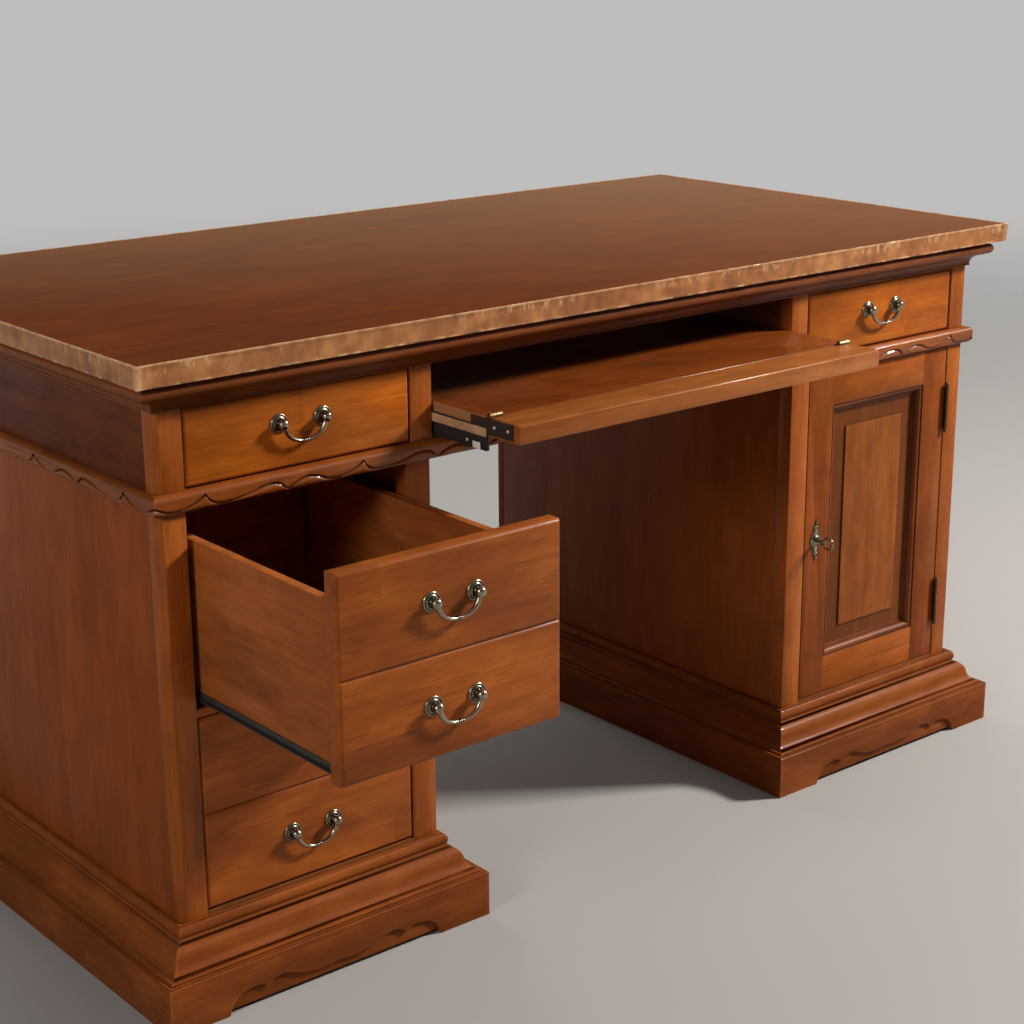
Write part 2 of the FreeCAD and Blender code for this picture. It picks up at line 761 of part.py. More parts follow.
def slide_member(name, side, x, y, z):
    """The drawer's half of a slide: an angle round the lower edge of a box side."""
    sheet_x = (x - D.sheet_thickness, x) if side == LEFT else (x, x + D.sheet_thickness)
    under_x = (sheet_x[0] - D.file_box_inset / 2, x + D.slide_under)
    if side == RIGHT:
        under_x = (x - D.slide_under, sheet_x[1] + D.file_box_inset / 2)
    wall = board(f"{name}_wall", sheet_x, y, (z, z + D.slide_height))
    foot = board(f"{name}_foot", under_x, y, (z - D.sheet_thickness, z))
    return fuse(name, [wall, foot])


def cabinet_rail(name, side, edge, y, z):
    """The cabinet's half of a slide: an angle that the drawer's half runs on."""
    foot_top = z - D.sheet_thickness - D.running_gap
    reach = D.file_box_inset + D.front_gap - D.sheet_thickness - D.running_gap
    low, high = (edge, edge + D.sheet_thickness) if side == LEFT else (edge - D.sheet_thickness, edge)
    wall = board(f"{name}_wall", (low, high), y, (foot_top - D.sheet_thickness, z + D.slide_height))
    foot_x = (edge, edge + reach) if side == LEFT else (edge - reach, edge)
    foot = board(f"{name}_foot", foot_x, y, (foot_top - D.sheet_thickness, foot_top))
    return fuse(name, [wall, foot])


def make_file_drawers():
    rails = []
    battens = []
    bays = (
        ("lower_file", D.floor_height, RAIL_BOTTOM, ZERO),
        ("upper_file", RAIL_TOP, WAIST_BOTTOM, D.file_drawer_open),
    )
    bay = span(LEFT, BAY_IN, BAY_OUT)
    inside = span(LEFT, PEDESTAL_IN + D.panel_thickness, HALF - D.panel_thickness)
    rail_y = (FRONT + D.post_thickness, FRONT + D.post_thickness + D.rail_length)
    for name, low, high, opened in bays:
        face = FRONT - opened
        x = (bay[0] + D.front_gap, bay[1] - D.front_gap)
        z = (low + D.front_gap, high - D.front_gap)
        bevelled_front(f"{name}_front", x, (face, face + D.front_thickness), z, True)
        box_x = (x[0] + D.file_box_inset, x[1] - D.file_box_inset)
        box_y = (face + D.front_thickness, face + D.front_thickness + D.file_box_depth)
        bottom = z[0] + D.file_box_lift
        drawer_box(name, box_x, box_y, (bottom, z[1] - D.file_box_clearance))
        members = []
        for side, word, outside, wall, edge in (
            (LEFT, "left", box_x[0], inside[0], bay[0]),
            (RIGHT, "right", box_x[1], inside[1], bay[1]),
        ):
            members.append(slide_member(f"{name}_slide_{word}", side, outside, box_y, bottom))
            rails.append(cabinet_rail(f"{name}_rail_{word}", side, edge, rail_y, bottom))
            batten_x = (wall, edge) if side == LEFT else (edge, wall)
            batten_z = (bottom - D.sheet_thickness, bottom + D.slide_height)
            battens.append(board(f"{name}_batten_{word}", batten_x, rail_y, batten_z))
        keep(group(f"{name}_slides", members))
        middle = (x[0] + x[1]) / 2
        centre = (z[0] + z[1]) / 2
        quarter = (z[1] - z[0]) / 4
        rises = (centre - quarter + D.file_handle_rise, centre + quarter + D.file_handle_rise)
        handle_posts(f"{name}_handle_posts", face, [(middle, rises[0]), (middle, rises[1])])
        bail(f"{name}_lower_bail", face, middle, rises[0])
        bail(f"{name}_upper_bail", face, middle, rises[1])
    keep(group("file_drawer_rails", rails))
    keep(group("rail_battens", battens))


TRAY_EDGE = FRONT - D.tray_out
TRAY_TOP = FRIEZE_TOP - D.tray_drop
TRAY_EDGE_X = TRAY_HALF - D.tray_side_gap
PIVOT_Y = TRAY_EDGE - D.flap_seam / 2
PIVOT_Z = TRAY_TOP + D.flap_pivot_rise
TRAY_KNUCKLE = (TRAY_EDGE_X - D.flap_barrel_length, TRAY_EDGE_X)
FLAP_KNUCKLE_END = TRAY_KNUCKLE[0] - D.flap_knuckle_gap
FLAP_KNUCKLE = (FLAP_KNUCKLE_END - D.flap_barrel_length, FLAP_KNUCKLE_END)


def make_tray():
    tray_y = (TRAY_EDGE, TRAY_EDGE + D.tray_depth)
    tray_z = (TRAY_TOP - D.tray_thickness, TRAY_TOP)
    blank = board("tray_blank", (-TRAY_EDGE_X, TRAY_EDGE_X), tray_y, tray_z)
    keep(cut("tray_board", blank, knuckle_notches("tray_notch")))
    slide_z = tray_z[0] - D.tray_slide_height
    lip_top = slide_z - D.running_gap
    wall_out = TRAY_HALF + (D.inner_post_width - D.partition_thickness) / 2
    rail_y = (FRONT + D.post_thickness, FRONT + D.post_thickness + D.tray_depth)
    slides = []
    rails = []
    brackets = []
    hinges = []
    for side, word in ((LEFT, "left"), (RIGHT, "right")):
        web_x = span(side, TRAY_EDGE_X - D.sheet_thickness, TRAY_EDGE_X)
        slides.append(fuse(f"tray_slide_{word}", [
            board(f"tray_slide_{word}_web", web_x, tray_y, (slide_z, tray_z[0])),
            board(f"tray_slide_{word}_head", span(side, TRAY_EDGE_X - D.slide_under, TRAY_EDGE_X), tray_y,
                  (tray_z[0] - D.sheet_thickness, tray_z[0])),
            board(f"tray_slide_{word}_foot",
                  span(side, TRAY_EDGE_X - D.sheet_thickness, TRAY_HALF - D.tray_slide_gap), tray_y,
                  (slide_z, slide_z + D.sheet_thickness)),
        ]))
        rails.append(fuse(f"tray_rail_{word}", [
            board(f"tray_rail_{word}_wall", span(side, wall_out - D.sheet_thickness, wall_out), rail_y,
                  (lip_top - D.sheet_thickness, tray_z[0])),
            board(f"tray_rail_{word}_lip", span(side, TRAY_EDGE_X + D.running_gap, wall_out), rail_y,
                  (lip_top - D.sheet_thickness, lip_top)),
        ]))
        brackets.append(board(f"bracket_{word}", span(side, TRAY_EDGE_X, TRAY_EDGE_X + D.sheet_thickness),
                              (PIVOT_Y - D.bracket_nose, PIVOT_Y - D.bracket_nose + D.bracket_length),
                              (TRAY_TOP - D.bracket_height - D.front_gap, TRAY_TOP - D.front_gap)))
        hinges.append(flap_hinge(f"flap_hinge_{word}", side))
    keep(group("tray_slides", slides))
    keep(group("tray_rails", rails))
    keep(group("tray_end_brackets", brackets))
    keep(group("flap_hinges", hinges))


def knuckle_notches(name):
    """Room round the flap's knuckles, at both ends of the seam."""
    reach = D.flap_barrel_radius + D.flap_notch_gap
    notches = []
    for side, word in ((LEFT, "left"), (RIGHT, "right")):
        x = span(side, FLAP_KNUCKLE[0] - D.flap_notch_gap, TRAY_EDGE_X + D.cut_overrun)
        notches.append(board(f"{name}_{word}", x, (PIVOT_Y - reach, PIVOT_Y + reach),
                             (PIVOT_Z - reach, PIVOT_Z + reach)))
    return fuse(name, notches)


def flap_hinge(name, side):
    """The tray's half of a butt hinge: a leaf in the seam, a knuckle at the surface, and the pin."""
    x = span(side, *TRAY_KNUCKLE)
    pin_x = span(side, FLAP_KNUCKLE[0], TRAY_KNUCKLE[1])
    barrel = rod(f"{name}_barrel", D.flap_barrel_radius, x[1] - x[0], "x", x[0], PIVOT_Y, PIVOT_Z)
    pin = rod(f"{name}_pin", D.flap_pin_radius, pin_x[1] - pin_x[0], "x", pin_x[0], PIVOT_Y, PIVOT_Z)
    leaf = board(f"{name}_leaf", x, (TRAY_EDGE - D.flap_leaf_thickness, TRAY_EDGE),
                 (TRAY_TOP - D.flap_leaf_height, PIVOT_Z))
    return fuse(name, [barrel, pin, leaf])


def flap_knuckle(name, side):
    """The flap's half of a butt hinge: a leaf in the seam and a bored knuckle."""
    x = span(side, *FLAP_KNUCKLE)
    edge = TRAY_EDGE - D.flap_seam
    barrel = rod(f"{name}_barrel", D.flap_barrel_radius, x[1] - x[0], "x", x[0], PIVOT_Y, PIVOT_Z)
    leaf = board(f"{name}_leaf", x, (edge, edge + D.flap_leaf_thickness),
                 (TRAY_TOP - D.flap_leaf_height, PIVOT_Z))
    bore = rod(f"{name}_bore", D.flap_pin_radius + D.pin_clearance, x[1] - x[0] + D.cut_overrun * 2, "x",
               x[0] - D.cut_overrun, PIVOT_Y, PIVOT_Z)
    return cut(name, fuse(f"{name}_blank", [barrel, leaf]), bore)


def make_flap():
    """The flap on the tray's front edge, flush with the tray when it is down."""
    end = TRAY_EDGE_X - D.running_gap
    heel_y = TRAY_EDGE - D.flap_seam
    blank = shaped_board("flap_blank", (-end, end), (heel_y - D.flap_length, heel_y),
                         (TRAY_TOP - D.flap_thickness, TRAY_TOP))
    nose = edges_where(blank, lambda point: near(point.y, ZERO) and near(point.z, D.flap_thickness))
    dress(blank, "Fillet", nose, Radius=D.flap_round)
    keep(cut("tray_flap", blank, knuckle_notches("flap_notch")))
    knuckles = [flap_knuckle("flap_knuckle_left", LEFT), flap_knuckle("flap_knuckle_right", RIGHT)]
    keep(group("flap_knuckles", knuckles))


DOOR_X = (BAY_IN + D.front_gap, BAY_OUT - D.door_hinge_gap)
DOOR_Z = (D.floor_height + D.front_gap, WAIST_BOTTOM - D.front_gap)
DOOR_Y = (FRONT, FRONT + D.door_thickness)
HINGE_X = BAY_OUT - D.door_hinge_gap / 2
HINGE_Y = FRONT - D.hinge_barrel_radius - D.running_gap
KEY_X = DOOR_X[0] + D.lock_set_in
KEY_Z = DOOR_Z[0] + (DOOR_Z[1] - DOOR_Z[0]) * LOCK_RISE_SHARE


def key_hole(name, low, high):
    radius = D.key_radius + D.key_hole_gap
    return rod(name, radius, high - low + D.cut_overrun * 2, "y", KEY_X, low - D.cut_overrun, KEY_Z)


def make_door():
    frame = shaped_board("door_blank", DOOR_X, DOOR_Y, DOOR_Z)
    inner_x = (D.door_stile_width, DOOR_X[1] - DOOR_X[0] - D.door_stile_width)
    inner_z = (D.door_bottom_rail, DOOR_Z[1] - DOOR_Z[0] - D.door_top_rail)
    opening = body_sketch(frame, "door_opening_plan", "XZ_Plane")
    draw(opening, [
        Corner(inner_x[0], inner_z[0]),
        Corner(inner_x[1], inner_z[0]),
        Corner(inner_x[1], inner_z[1]),
        Corner(inner_x[0], inner_z[1]),
    ])
    pocket = frame.newObject("PartDesign::Pocket", "door_opening")
    pocket.Profile = opening
    pocket.Type = "ThroughAll"
    pocket.Midplane = True
    before = frame.Shape.Volume
    doc.recompute()
    if not frame.Shape.Volume < before:
        raise ValueError("the door's opening cuts nothing")

    def inside(point):
        across = inner_x[0].value - SAME_PLACE < point.x < inner_x[1].value + SAME_PLACE
        return across and near(point.y, ZERO)

    dress(frame, "Chamfer", edges_where(frame, inside), Size=D.door_sticking)
    keep(cut("door_frame", frame, key_hole("door_key_hole", DOOR_Y[0], DOOR_Y[1])))
    panel_x = (DOOR_X[0] + inner_x[0], DOOR_X[0] + inner_x[1])
    panel_z = (DOOR_Z[0] + inner_z[0], DOOR_Z[0] + inner_z[1])
    face = FRONT + D.door_panel_depth
    plate = board("door_panel_plate", panel_x, (face, face + D.door_panel_thickness), panel_z)
    bevel = D.door_bevel_width
    field = doc.addObject("Part::Wedge", "door_panel_field")
    bind(field, Xmin=bevel, Xmax=panel_x[1] - panel_x[0] - bevel, X2min=ZERO, X2max=panel_x[1] - panel_x[0])
    bind(field, Zmin=bevel, Zmax=panel_z[1] - panel_z[0] - bevel, Z2min=ZERO, Z2max=panel_z[1] - panel_z[0])
    bind(field, Ymin=ZERO, Ymax=D.door_field_rise)
    place(field, panel_x[0], face - D.door_field_rise, panel_z[0])
    keep(fuse("door_panel", [plate, field]))


def make_door_hinges():
    """Butt hinges: leaves in the gap, two outer knuckles on the stile and one with the pin on the door."""
    fixed = []
    moving = []
    third = D.hinge_height / 3
    leaf_y = (HINGE_Y, FRONT + D.hinge_leaf_width)
    middles = (("upper", DOOR_Z[1] - D.upper_hinge_drop), ("lower", DOOR_Z[0] + D.lower_hinge_rise))
    for word, middle in middles:
        low = middle - D.hinge_height / 2
        high = low + D.hinge_height
        stile_leaf = board(f"{word}_stile_leaf", (BAY_OUT - D.hinge_leaf_thickness, BAY_OUT),
                           (FRONT, leaf_y[1]), (low, high))
        knuckles = [stile_leaf]
        for knuckle_low in (low, high - third + D.hinge_knuckle_gap):
            tag = f"{word}_{'foot' if knuckle_low is low else 'head'}"
            barrel = rod(f"{tag}_barrel", D.hinge_barrel_radius, third - D.hinge_knuckle_gap, "z",
                         HINGE_X, HINGE_Y, knuckle_low)
            web = board(f"{tag}_web", (BAY_OUT - D.hinge_leaf_thickness, BAY_OUT), (HINGE_Y, FRONT),
                        (knuckle_low, knuckle_low + third - D.hinge_knuckle_gap))
            knuckles += [barrel, web]
        bore = rod(f"{word}_hinge_bore", D.hinge_pin_radius + D.pin_clearance,
                   D.hinge_height + D.cut_overrun * 2, "z", HINGE_X, HINGE_Y, low - D.cut_overrun)
        fixed.append(cut(f"{word}_hinge_fixed", fuse(f"{word}_fixed_blank", knuckles), bore))
        door_leaf = board(f"{word}_door_leaf", (DOOR_X[1], DOOR_X[1] + D.hinge_leaf_thickness),
                          (FRONT, leaf_y[1]), (low, high))
        web = board(f"{word}_middle_web", (DOOR_X[1], DOOR_X[1] + D.hinge_leaf_thickness), (HINGE_Y, FRONT),
                    (low + third, high - third))
        barrel = rod(f"{word}_middle_barrel", D.hinge_barrel_radius, third, "z",
                     HINGE_X, HINGE_Y, low + third)
        pin = rod(f"{word}_hinge_pin", D.hinge_pin_radius, D.hinge_height, "z", HINGE_X, HINGE_Y, low)
        moving.append(fuse(f"{word}_hinge_moving", [door_leaf, web, barrel, pin]))
    keep(group("door_hinge_fixed", fixed))
    keep(group("door_hinge_leaves", moving))


def make_lock():
    case_x = (DOOR_X[0] + D.lock_wall, DOOR_X[0] + D.lock_wall + D.lock_case_width)
    case_y = (DOOR_Y[1], DOOR_Y[1] + D.lock_case_depth)
    case_z = (KEY_Z - D.lock_case_height / 2, KEY_Z + D.lock_case_height / 2)
    bolt_y = (FRONT + D.post_thickness + D.lock_wall, case_y[1] - D.lock_wall)
    bolt_z = (KEY_Z + D.bolt_rise - D.bolt_height / 2, KEY_Z + D.bolt_rise + D.bolt_height / 2)
    blank = board("lock_case_blank", case_x, case_y, case_z)
    slot = board("lock_slot", (case_x[0] - D.cut_overrun, case_x[1] - D.lock_wall),
                 (bolt_y[0] - D.running_gap, bolt_y[1] + D.running_gap),
                 (bolt_z[0] - D.running_gap, bolt_z[1] + D.running_gap))
    chamber = rod("lock_chamber", D.key_bit_length + D.key_radius + D.key_hole_gap,
                  bolt_y[1] - bolt_y[0], "y", KEY_X, bolt_y[0], KEY_Z)
    way = key_hole("lock_key_way", case_y[0], bolt_y[1] - D.cut_overrun)
    keep(cut("lock_case", blank, fuse("lock_hollows", [slot, chamber, way])))
    bolt_tip = case_x[0] + D.running_gap
    keep(board("lock_bolt", (bolt_tip, bolt_tip + D.bolt_length), bolt_y, bolt_z))
    make_key(bolt_y)
    make_escutcheon()


def make_key(chamber_y):
    tip = chamber_y[1] - D.running_gap
    tail = FRONT - D.key_stem_out
    stem = rod("key_stem", D.key_radius, tip - tail, "y", KEY_X, tail, KEY_Z)
    collar = rod("key_collar", D.key_collar_radius, D.key_collar_length, "y", KEY_X, tail, KEY_Z)
    bow = doc.addObject("Part::Torus", "key_bow")
    turn(bow, Rotation(Vector(0, 1, 0), 90))
    bind(bow, Radius1=D.key_bow_radius, Radius2=D.key_bow_wire)
    place(bow, KEY_X, tail - D.key_bow_radius, KEY_Z)
    half = D.key_bit_thickness / 2
    bit = board("key_bit", (KEY_X - half, KEY_X + half), (tip - D.key_bit_width, tip),
                (KEY_Z - D.key_radius - D.key_bit_length, KEY_Z))
    keep(fuse("door_key", [stem, collar, bow, bit]))


def make_escutcheon():
    """A pointed plate over the key hole."""
    half = D.escutcheon_width / 2
    right = []
    left = []
    for width_share, height_share in ESCUTCHEON_SHARES:
        height = D.escutcheon_height * height_share
        right.append(Corner(half + half * width_share, height))
        if width_share:
            left.insert(0, Corner(half - half * width_share, height))
    tip = Corner(half, D.escutcheon_height)
    body = doc.addObject("PartDesign::Body", "escutcheon_blank")
    sketch = body_sketch(body, "escutcheon_plan", "XZ_Plane")
    draw(sketch, right + [tip] + left)
    pad = body.newObject("PartDesign::Pad", "escutcheon_pad")
    pad.Profile = sketch
    bind(pad, Length=D.escutcheon_thickness)
    place(body, KEY_X - half, FRONT, KEY_Z - D.escutcheon_height / 2)
    doc.recompute()
    keep(cut("escutcheon", body, key_hole("escutcheon_hole", FRONT - D.escutcheon_thickness, FRONT)))


def check_document():
    """Every object must have built, and every sub-part must be a valid shape with solids."""
    for item in doc.Objects:
        if "Invalid" in item.State or "Error" in item.State:
            raise ValueError(f"{item.Name} failed: {item.State}")
    for item in nodes:
        if item.Shape.isNull() or not item.Shape.isValid() or not item.Shape.Solids:
            raise ValueError(f"{item.Label} has no valid solid")


def write_parts():
    os.makedirs("parts", exist_ok=True)
    for item in nodes:
        item.Shape.exportStep(f"parts/{item.Label}.step")


make_top()
make_cornice()
make_frieze()
make_waist()
make_pedestals()
make_plinths()
make_frieze_drawers()
make_file_drawers()
make_tray()
make_flap()
make_door()
make_door_hinges()
make_lock()
doc.recompute()
check_document()
write_parts()
print(len(nodes), "sub-parts written")
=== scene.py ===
"""Partners desk: carved waist, wrinkled edging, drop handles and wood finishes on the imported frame."""
import json
import math

import bpy
from mathutils import Matrix, Vector, noise


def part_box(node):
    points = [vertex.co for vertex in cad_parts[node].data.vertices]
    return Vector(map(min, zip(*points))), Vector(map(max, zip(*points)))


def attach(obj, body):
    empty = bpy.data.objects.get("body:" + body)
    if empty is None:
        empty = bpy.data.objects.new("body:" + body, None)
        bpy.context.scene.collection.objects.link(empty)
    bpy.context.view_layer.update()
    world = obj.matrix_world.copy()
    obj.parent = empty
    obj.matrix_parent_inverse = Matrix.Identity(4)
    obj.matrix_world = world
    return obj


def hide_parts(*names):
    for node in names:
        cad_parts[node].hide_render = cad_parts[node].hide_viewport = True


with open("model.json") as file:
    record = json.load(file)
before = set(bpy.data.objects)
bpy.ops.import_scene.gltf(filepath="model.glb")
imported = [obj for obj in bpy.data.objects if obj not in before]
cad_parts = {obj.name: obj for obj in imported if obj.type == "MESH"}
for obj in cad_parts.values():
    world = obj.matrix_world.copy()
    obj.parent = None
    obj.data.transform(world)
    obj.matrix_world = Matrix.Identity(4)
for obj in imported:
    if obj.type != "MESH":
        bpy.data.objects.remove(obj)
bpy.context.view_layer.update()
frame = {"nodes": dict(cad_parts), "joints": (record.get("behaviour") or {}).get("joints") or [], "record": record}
MM = 0.001
QUARTER_TURN = math.pi / 2


# Handling of pieces

def deselect():
    """Leaves edit mode and lets go of everything."""
    if bpy.context.object and bpy.context.object.mode != "OBJECT":
        bpy.ops.object.mode_set(mode="OBJECT")
    bpy.ops.object.select_all(action="DESELECT")


def take(piece):
    """Makes the piece the only one that the next operator works on."""
    deselect()
    piece.select_set(True)
    bpy.context.view_layer.objects.active = piece


def edit(piece, kind="FACE"):
    """Opens the piece in edit mode with all of it selected."""
    take(piece)
    bpy.ops.object.mode_set(mode="EDIT")
    bpy.ops.mesh.select_mode(type=kind)
    bpy.ops.mesh.select_all(action="SELECT")


def close_edit():
    """Goes back from edit mode to whole pieces."""
    bpy.ops.object.mode_set(mode="OBJECT")


def close_outwards():
    """Turns every face of the open piece outwards, and closes it."""
    bpy.ops.mesh.select_all(action="SELECT")
    bpy.ops.mesh.normals_make_consistent(inside=False)
    close_edit()


def extrude_back(distance):
    """Extrudes the selected faces away from the sitter, or towards the sitter by a negative distance."""
    bpy.ops.mesh.extrude_region_move(TRANSFORM_OT_translate={"value": (0, distance, 0)})


def fix_place():
    """Puts the active piece's place, turn and scale into its mesh."""
    bpy.ops.object.transform_apply(location=True, rotation=True, scale=True)


def apply_modifier(piece, kind, **settings):
    """Adds a modifier with its settings and makes its result the piece's mesh."""
    take(piece)
    modifier = piece.modifiers.new(kind.lower(), kind)
    for name, value in settings.items():
        setattr(modifier, name, value)
    bpy.ops.object.modifier_apply(modifier=modifier.name)


def settle(piece, name, body, finish, nodes=(), angle=35):
    """Names a finished piece, puts its place into its mesh, and hands it to its body.

    angle is the sharpest fold, in degrees, that is still shaded as one round surface."""
    take(piece)
    fix_place()
    bpy.ops.object.shade_smooth_by_angle(angle=math.radians(angle))
    piece.name = piece.data.name = name
    piece.data.materials.clear()
    piece.data.materials.append(finish)
    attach(piece, body)
    if nodes:
        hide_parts(*nodes)


def copied(pattern, place):
    """A copy of a modelled shape with its own mesh, put where the matrix says."""
    piece = bpy.data.objects.new(pattern.name, pattern.data.copy())
    piece.data.transform(place)
    bpy.context.collection.objects.link(piece)
    return piece


def joined(pieces):
    """One piece made of several."""
    take(pieces[0])
    for piece in pieces:
        piece.select_set(True)
    if len(pieces) > 1:
        bpy.ops.object.join()
    return pieces[0]


def scrap(piece):
    """Throws away a pattern or a cutter that has done its work."""
    bpy.data.objects.remove(piece, do_unlink=True)


def body_of(node):
    """The body that a CAD node rides on."""
    for name, nodes in frame["record"]["behaviour"]["bodies"].items():
        if node in nodes:
            return name


def pivot_of(body):
    """A point on the line that a hinged body turns about."""
    return next(joint for joint in frame["joints"] if joint["child"] == body)["pos_m"]


# Starting shapes

SHARP_EDGE = math.radians(38)


def block(low, high):
    """A board between two corners, as a start for further work."""
    deselect()
    bpy.ops.mesh.primitive_cube_add(size=1, location=(Vector(low) + Vector(high)) / 2,
                                    scale=Vector(high) - Vector(low))
    fix_place()
    return bpy.context.object


def disc(sides, radius):
    """A flat round plate at the origin that faces the sitter."""
    deselect()
    bpy.ops.mesh.primitive_circle_add(vertices=sides, radius=radius, fill_type="NGON", location=(0, 0, 0),
                                      rotation=(QUARTER_TURN, 0, 0))
    fix_place()
    return bpy.context.object


def rubbed(piece, width, **corners):
    """Takes the sharpness off a piece's edges."""
    apply_modifier(piece, "BEVEL", width=width, segments=2, limit_method="ANGLE", angle_limit=SHARP_EDGE,
                   **corners)
    return piece


def turned(name, steps, sides=36):
    """A turned shape from steps of radius and distance from its face, in millimetres.

    Its face is on y = 0 and its nose points towards the sitter."""
    radius, distance = steps[0]
    piece = disc(sides, radius * MM)
    edit(piece)
    for next_radius, next_distance in steps[1:]:
        extrude_back(-(next_distance - distance) * MM)
        grow = next_radius / radius
        bpy.ops.transform.resize(value=(grow, 1, grow), center_override=(0, -next_distance * MM, 0))
        radius, distance = next_radius, next_distance
    bpy.ops.mesh.poke()
    close_outwards()
    piece.name = name
    return piece


# Shader nodes

def put(tree, kind, sockets=None, **settings):
    """Adds a node. A socket is given a number or a colour, or another node's output to link."""
    node = tree.nodes.new(kind)
    for name, value in settings.items():
        setattr(node, name, value)
    for key, value in (sockets or {}).items():
        if isinstance(value, bpy.types.NodeSocket):
            tree.links.new(value, node.inputs[key])
        else:
            node.inputs[key].default_value = value
    return node


def maths(tree, operation, first, second=0.0):
    return put(tree, "ShaderNodeMath", {0: first, 1: second}, operation=operation).outputs[0]


def times(tree, first, second):
    return maths(tree, "MULTIPLY", first, second)


def plus(tree, first, second):
    return maths(tree, "ADD", first, second)


def spread(tree, value, low, high, to_low=0.0, to_high=1.0):
    """Stretches low to high over to_low to to_high, and stops at the ends."""
    return put(tree, "ShaderNodeMapRange", {"Value": value, "From Min": low, "From Max": high,
                                            "To Min": to_low, "To Max": to_high}).outputs[0]


def blend(tree, factor, first, second, way="MIX"):
    return put(tree, "ShaderNodeMix", {0: factor, 6: first, 7: second}, data_type="RGBA",
               blend_type=way).outputs[2]


def either(tree, switch, first, second):
    """The first vector where the switch is 0, the second where it is 1."""
    return put(tree, "ShaderNodeMix", {0: switch, 4: first, 5: second}, data_type="VECTOR").outputs[1]


def split(tree, vector):
    return put(tree, "ShaderNodeSeparateXYZ", {0: vector}).outputs


def object_spot(tree):
    return put(tree, "ShaderNodeTexCoord").outputs["Object"]


def face_normal(tree):
    return put(tree, "ShaderNodeNewGeometry").outputs["True Normal"]


def speckle(tree, vector, waves, detail=2.0, rough=0.55, warp=0.0):
    """Soft random spots, with so many waves to the metre along each axis."""
    place = put(tree, "ShaderNodeMapping", {"Vector": vector, "Scale": waves}).outputs[0]
    return put(tree, "ShaderNodeTexNoise", {"Vector": place, "Scale": 1.0, "Detail": detail,
                                            "Roughness": rough, "Distortion": warp}).outputs["Fac"]


def rgba(colour):
    return (*colour, 1.0)


def tinted(colour, share, lift=0.0):
    """A darker or lighter kin of a colour."""
    return rgba([min(1.0, channel * share + lift) for channel in colour])


def ramp_between(tree, value, dark, middle, light):
    """Colour from dark over middle to light as the value goes from 0 to 1."""
    ramp = put(tree, "ShaderNodeValToRGB", {"Fac": value})
    ramp.color_ramp.elements[0].color = rgba(dark)
    ramp.color_ramp.elements[1].color = rgba(light)
    ramp.color_ramp.elements.new(0.5).color = rgba(middle)
    return ramp.outputs["Color"]


def bumped(tree, shader, height, strength, distance):
    """Gives the shader fine relief from a height that varies over the surface."""
    bump = put(tree, "ShaderNodeBump", {"Height": height, "Strength": strength, "Distance": distance})
    tree.links.new(bump.outputs[0], shader.inputs["Normal"])


def new_material(name):
    material = bpy.data.materials.new(name)
    material.use_nodes = True
    return material, material.node_tree, material.node_tree.nodes["Principled BSDF"]


def new_group(name, inputs, outputs):
    """An empty node group with its named sockets, what it is given and what it puts out."""
    tree = bpy.data.node_groups.new(name, "ShaderNodeTree")
    for way, sockets in (("INPUT", inputs), ("OUTPUT", outputs)):
        for label, kind in sockets:
            tree.interface.new_socket(label, in_out=way, socket_type="NodeSocket" + kind)
    return tree, put(tree, "NodeGroupInput").outputs, put(tree, "NodeGroupOutput").inputs


# Effects that the finishes share

# Waves of the wood's figure to the metre: along the grain, and then across it both ways.
BAND_WAVES = (2.2, 30, 30)
STREAK_WAVES = (7, 230, 230)
PORE_WAVES = (26, 620, 620)
MOTTLE_WAVES = (14, 34, 34)
CLOUD_WAVES = (5, 9, 9)
BAND_SHARE, STREAK_SHARE, MOTTLE_SHARE = 0.40, 0.22, 0.38
TONE_RANGE = 0.37, 0.63
PORE_RANGE = 0.58, 0.74
RELIEF_SHARE = 0.5
HOLLOW_REACH, EDGE_REACH = 14 * MM, 4 * MM
HOLLOW_RANGE = 0.95, 0.45
EDGE_RANGE = 0.72, 0.30
OCCLUSION_SAMPLES = 6


